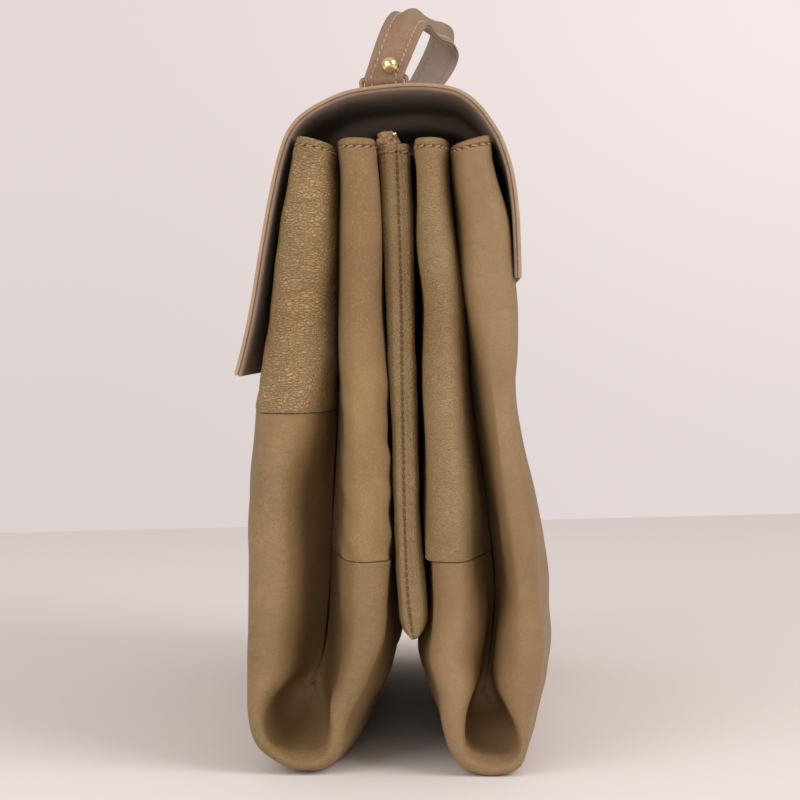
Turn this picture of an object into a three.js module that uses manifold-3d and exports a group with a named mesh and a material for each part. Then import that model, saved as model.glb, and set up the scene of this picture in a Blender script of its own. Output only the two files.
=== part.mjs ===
// A soft leather handbag: two accordion pouches with a slim zip pouch between them, a flap that arches
// over all three from the back to the front, and a short top handle on two metal rings.
// X runs along the bag, the long end of the flap faces -Y, and the bag stands on Z = 0.
import * as THREE from "three";
import { mergeVertices } from "three/addons/utils/BufferGeometryUtils.js";
import Module from "manifold-3d";

const wasm = await Module();
wasm.setup();

// The whole bag, in millimetres
const BAG_LENGTH = 330;
const BAG_DEPTH = 137;
const POUCH_HEIGHT = 270;
const CLEARANCE = 0.3;

// Accordion pouches
const POUCH_WALL = 1.6;
const HEM_WALL = 2.4;
const HEM_HEIGHT = 5;
const LIP_RADIUS = 12;
const VALLEY_DEPTH = 40;
const FOLD_GAP = 0.6;
const PANEL_FULLNESS = 6;
const PANEL_SOFTNESS = 1.3;
const FRONT_SEAM_HEIGHT = 154;
const INNER_SEAM_HEIGHT = 91;

// Zip pouch
const ZIP_POUCH_LENGTH = 314;
const ZIP_POUCH_WALL = 1.4;
const ZIP_EDGE_RADIUS = 6;
const ZIP_TIP_RADIUS = 10;
const TAPE_THICKNESS = 0.8;
const TAPE_DEPTH_BELOW_HEM = 5;
const TAPE_END_RISE = 7;
const TAPE_END_RAMP = 8;
const TEETH_HEIGHT = 1.8;
const TEETH_WIDTH = 4;
const TOOTH_PITCH = 8;
const TOOTH_GAP = 3.2;
const SLIDER_LENGTH = 9;
const SLIDER_WIDTH = 7;
const SLIDER_HEIGHT = 2.6;
const PULL_LENGTH = 16;
const PULL_THICKNESS = 1.1;

// Flap
const FLAP_LENGTH = 322;
const CROWN_RISE = 20;
const FLAP_LEATHER = 1.5;
const FLAP_LINING = 1.3;
const SNAP_DIAMETER = 18;
const SNAP_ABOVE_FLAP_END = 19;

// Handle
const HANDLE_SPAN = 123;
const HANDLE_PLACE = -3.4;
const HANDLE_SKEW = 4.3;
const HANDLE_RISE = 35.2;
const HANDLE_LEAN = 18;
const STRAP_WIDTH = 18.5;
const STRAP_THICKNESS = 2.4;
const STRAP_PADDING = 3.7;
const STRAP_TAIL = 18;
const LOOP_HEIGHT = 6;
const RING_BAR = 2.2;
const RING_CORNER = 1.2;
const RING_BEVEL = 0.5;
const RING_PLAY = 5.6;
const TAB_THICKNESS = 1.5;
const TAB_LENGTH = 24;
const STUD_DIAMETER = 8;
const STUD_POST = 3;
const STUD_BASE = 1;
const STUD_HEIGHT = 9;

// A table's rows are numbers in the order of its named columns.
function table(columns, rows) {
  return rows.map((row) => Object.fromEntries(columns.map((name, i) => [name, row[i]])));
}

const POUCH_COLUMNS = ["y", "z", "bulge", "drop", "foldY", "foldZ", "lip", "valley", "hollow"];

// Front pouch, from the top of its front panel down, under the base and up its inner panel.
// y, bulge and foldY are shares of BAG_DEPTH, z, drop and foldZ of POUCH_HEIGHT, lip of LIP_RADIUS and
// valley of VALLEY_DEPTH. y and z lie on the end ridge, bulge and drop lead from it to mid length. hollow
// is 0 where the flank runs straight into the fold and 1 where it drops steeply behind the lip.
const FRONT_POUCH = table(POUCH_COLUMNS, [
  [-0.304, 1.0, -0.01, 0, -0.187, 1.0, 0.66, 0.85, 0],
  [-0.351, 0.904, -0.011, 0, -0.181, 0.904, 0.92, 0.9, 0],
  [-0.393, 0.748, -0.019, 0, -0.184, 0.748, 1, 0.95, 0],
  [-0.413, 0.63, -0.05, 0, -0.193, 0.63, 1, 1, 0],
  [-0.432, 0.556, -0.055, 0, -0.199, 0.556, 1, 1, 0],
  [-0.46, 0.437, -0.034, 0, -0.212, 0.437, 1, 1, 0],
  [-0.457, 0.281, -0.032, 0, -0.224, 0.281, 1, 1, 0],
  [-0.461, 0.167, -0.022, 0, -0.248, 0.167, 0.8, 1, 0.3],
  [-0.46, 0.096, -0.01, 0, -0.276, 0.133, 0.36, 0.95, 0.8],
  [-0.428, 0.044, -0.006, -0.012, -0.287, 0.122, 0.26, 0.9, 1],
  [-0.354, 0.015, -0.004, -0.026, -0.284, 0.117, 0.23, 0.9, 0.7],
  [-0.277, 0.0075, 0, -0.02, -0.28, 0.116, 0.22, 0.9, 0.5],
  [-0.212, 0.0126, 0.018, -0.024, -0.277, 0.117, 0.26, 0.9, 0.6],
  [-0.17, 0.039, 0.046, -0.016, -0.274, 0.122, 0.37, 0.92, 0.9],
  [-0.143, 0.089, 0.066, 0, -0.267, 0.133, 0.44, 0.95, 1],
  [-0.084, 0.141, 0.055, 0, -0.254, 0.156, 0.64, 0.98, 0.6],
  [-0.038, 0.215, 0.029, 0, -0.234, 0.207, 0.87, 1, 0.2],
  [-0.024, 0.296, 0.019, 0, -0.223, 0.296, 1, 1, 0],
  [-0.015, 0.37, 0.004, 0, -0.219, 0.37, 1, 1, 0],
  [-0.024, 0.515, 0.002, 0, -0.202, 0.515, 1, 1, 0],
  [-0.037, 0.704, 0.003, 0, -0.187, 0.704, 0.87, 0.95, 0],
  [-0.049, 0.904, -0.001, 0, -0.181, 0.904, 0.75, 0.9, 0],
  [-0.067, 1.0, 0.004, 0, -0.187, 1.0, 0.66, 0.85, 0],
]);

// Back pouch, from the top of its inner panel down, under the base and up the back, in the same shares.
const BACK_POUCH = table(POUCH_COLUMNS, [
  [0.061, 1.0, -0.018, 0, 0.163, 1.0, 0.56, 0.85, 0],
  [0.063, 0.904, -0.014, 0, 0.178, 0.904, 0.63, 0.9, 0],
  [0.082, 0.748, -0.023, 0, 0.212, 0.748, 0.72, 0.95, 0],
  [0.089, 0.593, -0.022, 0, 0.236, 0.593, 0.82, 1, 0],
  [0.092, 0.437, -0.017, 0, 0.279, 0.437, 1, 1, 0],
  [0.098, 0.359, -0.017, 0, 0.297, 0.359, 1, 1, 0],
  [0.101, 0.281, -0.002, 0, 0.312, 0.281, 1, 1, 0],
  [0.096, 0.233, 0.008, 0, 0.307, 0.233, 1, 1, 0],
  [0.094, 0.178, -0.03, 0, 0.299, 0.18, 0.85, 1, 0.2],
  [0.132, 0.126, -0.059, 0, 0.29, 0.141, 0.6, 0.97, 0.6],
  [0.148, 0.081, -0.039, 0, 0.283, 0.118, 0.42, 0.95, 1],
  [0.174, 0.037, -0.013, -0.02, 0.281, 0.107, 0.33, 0.9, 1],
  [0.212, 0.012, -0.004, -0.026, 0.28, 0.104, 0.29, 0.9, 0.7],
  [0.292, 0.001, 0, -0.012, 0.277, 0.103, 0.26, 0.9, 0.5],
  [0.38, 0.011, -0.004, -0.026, 0.274, 0.104, 0.26, 0.9, 0.6],
  [0.414, 0.041, 0.017, -0.022, 0.273, 0.107, 0.31, 0.92, 0.9],
  [0.425, 0.089, 0.035, 0, 0.274, 0.118, 0.45, 0.95, 1],
  [0.451, 0.141, 0.035, 0, 0.286, 0.144, 0.7, 1, 0.6],
  [0.47, 0.204, 0.03, 0, 0.304, 0.204, 0.82, 1, 0.2],
  [0.458, 0.296, 0.036, 0, 0.311, 0.296, 0.8, 1, 0],
  [0.414, 0.437, 0.028, 0, 0.279, 0.437, 0.75, 1, 0],
  [0.369, 0.593, 0.015, 0, 0.236, 0.593, 0.74, 1, 0],
  [0.365, 0.748, 0.001, 0, 0.212, 0.748, 0.85, 0.95, 0],
  [0.343, 0.852, 0.012, 0, 0.189, 0.852, 0.85, 0.9, 0],
  [0.303, 0.944, 0.015, 0, 0.171, 0.944, 0.75, 0.88, 0],
  [0.291, 1.0, 0.005, 0, 0.163, 1.0, 0.7, 0.85, 0],
]);

// Zip pouch from its top down: the faces of its two panels and the seam between them, as shares of
// BAG_DEPTH, by height as a share of POUCH_HEIGHT.
const ZIP_POUCH = table(["z", "front", "back", "seam"], [
  [0.993, -0.058, 0.04, 0.003],
  [0.904, -0.046, 0.047, 0.009],
  [0.748, -0.031, 0.055, 0.018],
  [0.593, -0.021, 0.063, 0.021],
  [0.437, -0.01, 0.071, 0.026],
  [0.359, -0.003, 0.078, 0.03],
  [0.281, 0.006, 0.094, 0.037],
  [0.213, 0.014, 0.097, 0.055],
]);

// Inside face of the flap, from the end of its short back over the crown to the end of its long front.
// y is a share of BAG_DEPTH, z of POUCH_HEIGHT, and rise of CROWN_RISE above that.
const FLAP = table(["y", "z", "rise"], [
  [0.367, 0.781, 0],
  [0.364, 0.83, 0],
  [0.358, 0.889, 0],
  [0.342, 0.946, 0],
  [0.314, 0.99, 0],
  [0.287, 1, 0.205],
  [0.245, 1, 0.59],
  [0.193, 1, 0.865],
  [0.124, 1, 0.98],
  [0.036, 1, 1],
  [-0.058, 1, 0.95],
  [-0.147, 1, 0.845],
  [-0.219, 1, 0.64],
  [-0.277, 1, 0.39],
  [-0.315, 1, 0.085],
  [-0.34, 0.973, 0],
  [-0.365, 0.92, 0],
  [-0.396, 0.835, 0],
  [-0.426, 0.743, 0],
  [-0.45, 0.683, 0],
  [-0.478, 0.627, 0],
]);

// Middle line of the handle from the ring nearer +X to the other. along is a share of the span between
// the rings, rise of HANDLE_RISE, lean of HANDLE_LEAN towards +Y, and roll tips the strap, in degrees.
const HANDLE = table(["along", "rise", "lean", "roll"], [
  [0, 0, 0, 0],
  [0, 0.18, 0.12, 2],
  [0.004, 0.4, 0.28, 9],
  [0.028, 0.61, 0.42, 13],
  [0.093, 0.78, 0.52, 15],
  [0.207, 0.88, 0.6, 21],
  [0.378, 0.89, 0.68, 29],
  [0.581, 0.9, 0.79, 37],
  [0.768, 0.97, 0.95, 46],
  [0.898, 1, 1.07, 50],
  [0.976, 0.86, 1.02, 36],
  [1.004, 0.63, 0.81, 20],
  [1.008, 0.33, 0.46, 6],
  [1, 0, 0, 0],
]);

const mix = THREE.MathUtils.lerp;
const radians = THREE.MathUtils.degToRad;

// Values of a table at a place from 0 to its last row, on a cubic that passes through every row.
function rowAt(rows, place) {
  const first = Math.min(Math.floor(place), rows.length - 2);
  const f = place - first;
  const near = (step) => rows[THREE.MathUtils.clamp(first + step, 0, rows.length - 1)];
  const row = {};
  for (const name of Object.keys(rows[0])) {
    const [a, b, c, d] = [near(-1)[name], near(0)[name], near(1)[name], near(2)[name]];
    const slope = (c - a) / 2;
    const curve = a - 2.5 * b + 2 * c - d / 2;
    const twist = (d - a) / 2 + 1.5 * (b - c);
    row[name] = b + f * (slope + f * (curve + f * twist));
  }
  return row;
}

// Place in a pouch's table where its wall passes a height, on the way down from its first row
// or, with fromEnd, from its last.
const SEARCH_STEP = 0.01;
function placeAtHeight(rows, height, fromEnd) {
  const last = rows.length - 1;
  let walked = 0;
  const place = () => (fromEnd ? last - walked : walked);
  while (walked < last / 2 && rowAt(rows, place()).z * POUCH_HEIGHT > height) {
    walked += SEARCH_STEP;
  }
  return place();
}

// Two places in a table and every row between them that isn't too near to either.
function placesBetween(from, to) {
  const LEAST_STEP = 0.15;
  const places = [from];
  for (let i = Math.floor(from) + 1; i < to; i++) {
    if (i - from > LEAST_STEP && to - i > LEAST_STEP) places.push(i);
  }
  places.push(to);
  return places;
}

// Closed body between an outside grid of points and the inside grid under it.
// Seen from outside, columns run across and rows follow the column direction clockwise.
function bodyBetween(outside, inside) {
  const rows = outside.length;
  const columns = outside[0].length;
  const positions = [outside, inside].flat(2).flatMap((p) => [p.x, p.y, p.z]);
  const at = (i, j, layer) => layer * rows * columns + i * columns + j;
  const faces = [];
  const quad = (a, b, c, d) => faces.push(a, b, c, a, c, d);
  for (let i = 0; i < rows - 1; i++) {
    for (let j = 0; j < columns - 1; j++) {
      quad(at(i, j, 0), at(i, j + 1, 0), at(i + 1, j + 1, 0), at(i + 1, j, 0));
      quad(at(i, j, 1), at(i + 1, j, 1), at(i + 1, j + 1, 1), at(i, j + 1, 1));
    }
  }
  const rim = [];
  for (let j = 0; j < columns - 1; j++) rim.push([0, j]);
  for (let i = 0; i < rows - 1; i++) rim.push([i, columns - 1]);
  for (let j = columns - 1; j > 0; j--) rim.push([rows - 1, j]);
  for (let i = rows - 1; i > 0; i--) rim.push([i, 0]);
  rim.forEach(([i, j], k) => {
    const [m, n] = rim[(k + 1) % rim.length];
    quad(at(m, n, 0), at(i, j, 0), at(i, j, 1), at(m, n, 1));
  });
  const geometry = new THREE.BufferGeometry();
  geometry.setAttribute("position", new THREE.Float32BufferAttribute(positions, 3));
  geometry.setIndex(faces);
  return geometry;
}

// Grid that lies under another by a wall's thickness, along its normals. wall may differ by row.
function gridUnder(grid, wall) {
  const last = grid.length - 1;
  return grid.map((row, i) =>
    row.map((point, j) => {
      const down = grid[Math.min(i + 1, last)][j].clone().sub(grid[Math.max(i - 1, 0)][j]);
      const across = row[Math.min(j + 1, row.length - 1)].clone().sub(row[Math.max(j - 1, 0)]);
      const normal = across.cross(down).normalize();
      return point.clone().addScaledVector(normal, -(typeof wall === "function" ? wall(i) : wall));
    }),
  );
}

function wallBody(grid, wall) {
  return bodyBetween(grid, gridUnder(grid, wall));
}

function solidOf(geometry) {
  const bare = geometry.clone();
  bare.deleteAttribute("normal");
  bare.deleteAttribute("uv");
  const merged = mergeVertices(bare, 1e-4);
  return new wasm.Manifold(
    new wasm.Mesh({
      numProp: 3,
      vertProperties: merged.attributes.position.array,
      triVerts: new Uint32Array(merged.index.array),
    }),
  );
}

function geometryOf(solid) {
  const mesh = solid.getMesh();
  const geometry = new THREE.BufferGeometry();
  geometry.setAttribute("position", new THREE.BufferAttribute(mesh.vertProperties, 3));
  geometry.setIndex(new THREE.BufferAttribute(mesh.triVerts, 1));
  return geometry;
}

function material(colour, roughness, metalness) {
  return new THREE.MeshStandardMaterial({ color: colour, roughness, metalness });
}

const MATERIALS = {
  grain: material(0xa58762, 0.62, 0),
  suede: material(0x9c8570, 0.92, 0),
  smooth: material(0x9e7c56, 0.5, 0),
  flap: material(0x96785f, 0.55, 0),
  lining: material(0x6d5140, 0.95, 0),
  tape: material(0x5d4a3a, 0.9, 0),
  metal: material(0xcfa866, 0.25, 1),
};

const handbag = new THREE.Group();

function piece(name, geometry, finish, parent = handbag) {
  geometry.computeVertexNormals();
  const mesh = new THREE.Mesh(geometry, MATERIALS[finish]);
  mesh.name = name;
  parent.add(mesh);
  return mesh;
}

// One level line of a pouch from the fold inside its +X end, round the lip, along the panel and round
// the lip of the other end to the fold there. Offsets are measured from the panel towards the fold.
function pouchSection(row) {
  const LIP_ANGLES = [90, 50, 12, -25, -58, -90];
  const PANEL_SHARES = [0.82, 0.5];
  const flankPlace = mix(0.55, 0.22, row.hollow);
  const flankOpening = mix(0.4, 0.72, row.hollow);
  const ridge = new THREE.Vector2(row.y * BAG_DEPTH, row.z * POUCH_HEIGHT);
  const fold = new THREE.Vector2(row.foldY * BAG_DEPTH, row.foldZ * POUCH_HEIGHT);
  const inward = fold.sub(ridge);
  const width = inward.length();
  inward.normalize();
  const lip = Math.min(row.lip * LIP_RADIUS, (width - FOLD_GAP) / 2);
  const lipX = BAG_LENGTH / 2 - lip;
  const foldX = lipX - row.valley * VALLEY_DEPTH;
  const foldOffset = width - FOLD_GAP / 2;
  const half = [
    [foldX, foldOffset],
    [mix(foldX, lipX, flankPlace), mix(foldOffset, 2 * lip, flankOpening)],
  ];
  for (const angle of LIP_ANGLES) {
    half.push([lipX + lip * Math.cos(radians(angle)), lip + lip * Math.sin(radians(angle))]);
  }
  for (const share of PANEL_SHARES) half.push([lipX * share, 0]);
  const mirrored = half.map(([x, offset]) => [-x, offset]).reverse();
  return [...half, [0, 0], ...mirrored].map(([x, offset]) => {
    const onPanel = Math.abs(x) < lipX && offset === 0;
    const full = onPanel ? (1 - (Math.abs(x) / lipX) ** PANEL_FULLNESS) ** PANEL_SOFTNESS : 0;
    const y = ridge.x + inward.x * offset + full * row.bulge * BAG_DEPTH;
    const z = ridge.y + inward.y * offset + full * row.drop * POUCH_HEIGHT;
    return new THREE.Vector3(x, y, Math.max(z, 0));
  });
}

// Part of a pouch between two places of its table. The stretches within a hem's height of the top
// have the hem's thickness.
function pouchPart(rows, from, to) {
  const HEM_STEP = 0.05;
  const last = rows.length - 1;
  const firstHem = placeAtHeight(rows, POUCH_HEIGHT - HEM_HEIGHT, false);
  const lastHem = placeAtHeight(rows, POUCH_HEIGHT - HEM_HEIGHT, true);
  let places = placesBetween(from, to);
  if (from === 0) places = [0, firstHem, firstHem + HEM_STEP, ...places.slice(1)];
  if (to === last) places = [...places.slice(0, -1), lastHem - HEM_STEP, lastHem, last];
  const grid = places.map((place) => pouchSection(rowAt(rows, place)));
  return wallBody(grid, (i) => (places[i] <= firstHem || places[i] >= lastHem ? HEM_WALL : POUCH_WALL));
}

// Moves a place along a pouch's table by a distance on the pouch's ridge.
function stepAlong(rows, place, distance) {
  const probe = 0.1;
  const here = rowAt(rows, place);
  const next = rowAt(rows, place + probe);
  const stretch = Math.hypot((next.y - here.y) * BAG_DEPTH, (next.z - here.z) * POUCH_HEIGHT);
  return place + (distance * probe) / stretch;
}

// Front pouch: front panel and inner panel above their seams, and one piece below them.
const frontLast = FRONT_POUCH.length - 1;
const frontSeam = placeAtHeight(FRONT_POUCH, FRONT_SEAM_HEIGHT, false);
const frontInnerSeam = placeAtHeight(FRONT_POUCH, INNER_SEAM_HEIGHT, true);
const halfGap = CLEARANCE / 2;
piece(
  "front_pouch_front_panel",
  pouchPart(FRONT_POUCH, 0, stepAlong(FRONT_POUCH, frontSeam, -halfGap)),
  "grain",
);
piece(
  "front_pouch_base",
  pouchPart(
    FRONT_POUCH,
    stepAlong(FRONT_POUCH, frontSeam, halfGap),
    stepAlong(FRONT_POUCH, frontInnerSeam, -halfGap),
  ),
  "smooth",
);
piece(
  "front_pouch_inner_panel",
  pouchPart(FRONT_POUCH, stepAlong(FRONT_POUCH, frontInnerSeam, halfGap), frontLast),
  "suede",
);

// Back pouch: inner panel above its seam, and the back with the base in one piece.
const backLast = BACK_POUCH.length - 1;
const backInnerSeam = placeAtHeight(BACK_POUCH, INNER_SEAM_HEIGHT, false);
piece(
  "back_pouch_inner_panel",
  pouchPart(BACK_POUCH, 0, stepAlong(BACK_POUCH, backInnerSeam, -halfGap)),
  "grain",
);
piece(
  "back_pouch_body",
  pouchPart(BACK_POUCH, stepAlong(BACK_POUCH, backInnerSeam, halfGap), backLast),
  "smooth",
);

// One dished panel of the zip pouch. side is "front" or "back". Its rim turns in to the seam at both
// ends and at the tip, on quarter ellipses, and stays half a clearance short of it.
function zipPanel(side) {
  const facing = side === "front" ? -1 : 1;
  const EDGE_ANGLES = [0, 25, 50, 70, 90];
  const bottom = ZIP_POUCH[ZIP_POUCH.length - 1].z * POUCH_HEIGHT;
  const endX = ZIP_POUCH_LENGTH / 2;
  const straightX = endX - ZIP_EDGE_RADIUS;
  const ends = EDGE_ANGLES.map((a) => [
    straightX + ZIP_EDGE_RADIUS * Math.cos(radians(a)),
    Math.sin(radians(a)),
  ]);
  const columns = [...ends, [straightX / 2, 1], [0, 1]];
  const mirrored = columns.slice(0, -1).map(([x, open]) => [-x, open]);
  const across = [...columns, ...mirrored.reverse()];
  const straightPlaces = placesBetween(0, placeOfZipHeight(bottom + ZIP_TIP_RADIUS));
  const levels = straightPlaces.map((place) => [rowAt(ZIP_POUCH, place), 1]);
  for (const angle of EDGE_ANGLES.slice(0, -1).reverse()) {
    const height = bottom + ZIP_TIP_RADIUS * (1 - Math.cos(radians(angle)));
    levels.push([rowAt(ZIP_POUCH, placeOfZipHeight(height)), Math.sin(radians(angle))]);
  }
  return levels.map(([row, openTip]) =>
    across.map(([x, openEnd]) => {
      const seam = row.seam * BAG_DEPTH + facing * halfGap;
      const face = row[side] * BAG_DEPTH;
      return new THREE.Vector3(x, mix(seam, face, openEnd * openTip), row.z * POUCH_HEIGHT);
    }),
  );
}

// Place in the zip pouch's table at a height.
function placeOfZipHeight(height) {
  const last = ZIP_POUCH.length - 1;
  let place = 0;
  while (place < last && rowAt(ZIP_POUCH, place).z * POUCH_HEIGHT > height) {
    place += SEARCH_STEP;
  }
  return Math.min(place, last);
}

// Inside of a zip panel: the wall's thickness in from its face, its ends and its tip.
function zipPanelInside(grid, facing) {
  const shrinkX = 1 - (2 * ZIP_POUCH_WALL) / ZIP_POUCH_LENGTH;
  const top = grid[0][0].z;
  const bottom = grid[grid.length - 1][0].z;
  const shrinkZ = 1 - ZIP_POUCH_WALL / (top - bottom);
  return grid.map((row) =>
    row.map((p) => {
      const seam = row[0].y;
      const full = Math.abs(row[(row.length - 1) / 2].y - seam);
      const depth = Math.abs(p.y - seam);
      const thin = full > 0 ? depth - ZIP_POUCH_WALL * (depth / full) : 0;
      const z = top - (top - p.z) * shrinkZ;
      return new THREE.Vector3(p.x * shrinkX, seam + facing * Math.max(thin, 0), z);
    }),
  );
}

for (const side of ["front", "back"]) {
  const facing = side === "front" ? -1 : 1;
  const grid = zipPanel(side);
  const inside = zipPanelInside(grid, facing);
  const body = side === "front" ? bodyBetween(grid, inside) : bodyBetween(
    grid.map((row) => [...row].reverse()),
    inside.map((row) => [...row].reverse()),
  );
  piece(`zip_pouch_${side}_panel`, body, "grain");
}

// Extrudes an outline in X and Z along Y between two places.
function plateAlongY(outline, fromY, toY) {
  const shape = new THREE.Shape(outline.map(([x, z]) => new THREE.Vector2(x, z)));
  const geometry = new THREE.ExtrudeGeometry(shape, { depth: toY - fromY, bevelEnabled: false });
  geometry.rotateX(Math.PI / 2);
  geometry.translate(0, toY, 0);
  return geometry;
}

// Zip: a tape between the two hems whose ends turn up over the hems, and teeth and a slider on it.
const zipTop = ZIP_POUCH[0].z * POUCH_HEIGHT;
const tapeTop = zipTop - TAPE_DEPTH_BELOW_HEM;
const zipRow = rowAt(ZIP_POUCH, placeOfZipHeight(tapeTop));
const tapeFront = zipRow.front * BAG_DEPTH + ZIP_POUCH_WALL + CLEARANCE;
const tapeBack = zipRow.back * BAG_DEPTH - ZIP_POUCH_WALL - CLEARANCE;
const tapeMiddle = (tapeFront + tapeBack) / 2;
const tapeEnd = ZIP_POUCH_LENGTH / 2;
const rampEnd = tapeEnd - ZIP_EDGE_RADIUS - ZIP_POUCH_WALL;
const rampStart = rampEnd - TAPE_END_RAMP;
const tapeUpper = [
  [tapeEnd, tapeTop + TAPE_END_RISE],
  [rampEnd, tapeTop + TAPE_END_RISE],
  [rampStart, tapeTop],
];
const upperLine = [...tapeUpper, ...tapeUpper.map(([x, z]) => [-x, z]).reverse()];
const lowerLine = upperLine.map(([x, z]) => [x, z - TAPE_THICKNESS]).reverse();
piece("zip_tape", plateAlongY([...lowerLine, ...upperLine], tapeFront, tapeBack), "tape");

const toothCount = 2 * Math.floor((rampStart - CLEARANCE) / TOOTH_PITCH);
const teethFoot = tapeTop + CLEARANCE;
const teethOutline = [];
for (let i = 0; i < toothCount; i++) {
  const start = (i - toothCount / 2) * TOOTH_PITCH;
  const end = start + TOOTH_PITCH - TOOTH_GAP;
  teethOutline.push([start, teethFoot + TEETH_HEIGHT], [end, teethFoot + TEETH_HEIGHT]);
  if (i < toothCount - 1) {
    teethOutline.push([end, teethFoot + TEETH_HEIGHT / 2], [end + TOOTH_GAP, teethFoot + TEETH_HEIGHT / 2]);
  }
}
const teethEnd = teethOutline[teethOutline.length - 1][0];
const teethStart = teethOutline[0][0];
teethOutline.push([teethEnd, teethFoot], [teethStart, teethFoot]);
piece(
  "zip_teeth",
  plateAlongY(teethOutline.reverse(), tapeMiddle - TEETH_WIDTH / 2, tapeMiddle + TEETH_WIDTH / 2),
  "metal",
);

const sliderFoot = teethFoot + TEETH_HEIGHT + CLEARANCE;
const sliderX = teethEnd - SLIDER_LENGTH;
const shoulder = SLIDER_LENGTH / 4;
const sliderOutline = [
  [sliderX - PULL_LENGTH, sliderFoot],
  [sliderX + SLIDER_LENGTH, sliderFoot],
  [sliderX + SLIDER_LENGTH, sliderFoot + SLIDER_HEIGHT / 2],
  [sliderX + SLIDER_LENGTH - shoulder, sliderFoot + SLIDER_HEIGHT],
  [sliderX + shoulder, sliderFoot + SLIDER_HEIGHT],
  [sliderX, sliderFoot + PULL_THICKNESS],
  [sliderX - PULL_LENGTH, sliderFoot + PULL_THICKNESS],
];
piece(
  "zip_slider",
  plateAlongY(sliderOutline, tapeMiddle - SLIDER_WIDTH / 2, tapeMiddle + SLIDER_WIDTH / 2),
  "metal",
);

// Points and normals of the flap's inside face, from the back end to the front end.
const FLAP_ROWS = 27;
const flapLine = Array.from({ length: FLAP_ROWS }, (_, i) => {
  const row = rowAt(FLAP, (i * (FLAP.length - 1)) / (FLAP_ROWS - 1));
  return new THREE.Vector2(row.y * BAG_DEPTH, row.z * POUCH_HEIGHT + row.rise * CROWN_RISE);
});
const flapNormals = flapLine.map((_, i) => {
  const next = flapLine[Math.min(i + 1, FLAP_ROWS - 1)];
  const way = next.clone().sub(flapLine[Math.max(i - 1, 0)]).normalize();
  return new THREE.Vector2(way.y, -way.x);
});

// One layer of the flap whose inside lies a distance off the flap's inside face.
function flapLayer(distance, thickness) {
  const X_SHARES = [1, 0.5, 0, -0.5, -1];
  const grid = (offset) =>
    flapLine.map((point, i) => {
      const p = point.clone().addScaledVector(flapNormals[i], offset);
      return X_SHARES.map((share) => new THREE.Vector3((share * FLAP_LENGTH) / 2, p.x, p.y));
    });
  return bodyBetween(grid(distance + thickness), grid(distance));
}
piece("flap_lining", flapLayer(0, FLAP_LINING), "lining");
piece("flap_leather", flapLayer(FLAP_LINING + CLEARANCE, FLAP_LEATHER), "flap");
const flapThickness = FLAP_LINING + CLEARANCE + FLAP_LEATHER;

// Height and slope of the flap's outside at a place across the crown.
function crownAt(y) {
  const outside = flapLine.map((p, i) => p.clone().addScaledVector(flapNormals[i], flapThickness));
  const after = outside.findIndex((p) => p.x < y);
  const [a, b] = [outside[after - 1], outside[after]];
  const slope = (a.y - b.y) / (a.x - b.x);
  return { z: b.y + slope * (y - b.x), slope };
}

// Hidden closure: a flat disc that fills the space between the flap and the front panel.
function snapGeometry() {
  const height = flapLine[FLAP_ROWS - 1].y + SNAP_ABOVE_FLAP_END;
  const after = flapLine.findIndex((p) => p.x < 0 && p.y < height);
  const [a, b] = [flapLine[after - 1], flapLine[after]];
  const share = (height - a.y) / (b.y - a.y);
  const flapFace = a.clone().lerp(b, share);
  const normal = flapNormals[after];
  const place = placeAtHeight(FRONT_POUCH, height, false);
  const section = pouchSection(rowAt(FRONT_POUCH, place));
  const panelFace = section[(section.length - 1) / 2];
  const room = Math.abs(flapFace.x - panelFace.y) * Math.abs(normal.x);
  const thickness = Math.max(room - 2 * CLEARANCE, CLEARANCE);
  const SEGMENTS = 24;
  const disc = new THREE.CylinderGeometry(SNAP_DIAMETER / 2, SNAP_DIAMETER / 2, thickness, SEGMENTS);
  disc.applyQuaternion(
    new THREE.Quaternion().setFromUnitVectors(
      new THREE.Vector3(0, 1, 0),
      new THREE.Vector3(0, normal.x, normal.y),
    ),
  );
  const middle = flapFace.clone().addScaledVector(normal, -CLEARANCE - thickness / 2);
  disc.translate(0, middle.x, middle.y);
  return disc;
}
piece("flap_snap", snapGeometry(), "metal");

// A strap's points: columns run across it and each frame gives its middle, width and face directions.
function strapBody(frames, width, thickness, padding = () => 0) {
  const ACROSS = [-0.5, -0.28, 0, 0.28, 0.5];
  const layer = (side) =>
    frames.map((frame, i) =>
      ACROSS.map((share) => {
        const raised = side > 0 ? padding(i) * Math.cos(Math.PI * share) ** 2 : 0;
        return frame.middle
          .clone()
          .addScaledVector(frame.across, share * width)
          .addScaledVector(frame.face, (side * thickness) / 2 + raised);
      }),
    );
  return bodyBetween(layer(1), layer(-1));
}

// Gives each point of a path its width direction, tipped by a roll, and its face direction.
function framesAlong(points, rolls) {
  return points.map((middle, i) => {
    const next = points[Math.min(i + 1, points.length - 1)];
    const along = next.clone().sub(points[Math.max(i - 1, 0)]).normalize();
    const across = new THREE.Vector3(0, Math.cos(radians(rolls[i])), -Math.sin(radians(rolls[i])));
    return { middle, across, face: across.clone().cross(along).normalize() };
  });
}

// Ring, tab and crown at each end of the handle. side is 1 at the +X end and -1 at the other.
const barRadius = RING_BAR / 2;
const cornerReach = Math.hypot(barRadius, barRadius - RING_BEVEL);
const loopRadius = cornerReach + CLEARANCE + STRAP_THICKNESS / 2;
const tabRadius = cornerReach + CLEARANCE + TAB_THICKNESS / 2;
const lowerBar = CLEARANCE + TAB_THICKNESS + barRadius;
const ringReach = tabRadius + TAB_THICKNESS / 2 + loopRadius + STRAP_THICKNESS / 2 + RING_PLAY;
const upperBar = lowerBar + ringReach;
const ringWidth = STRAP_WIDTH + 2 * CLEARANCE;

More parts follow.
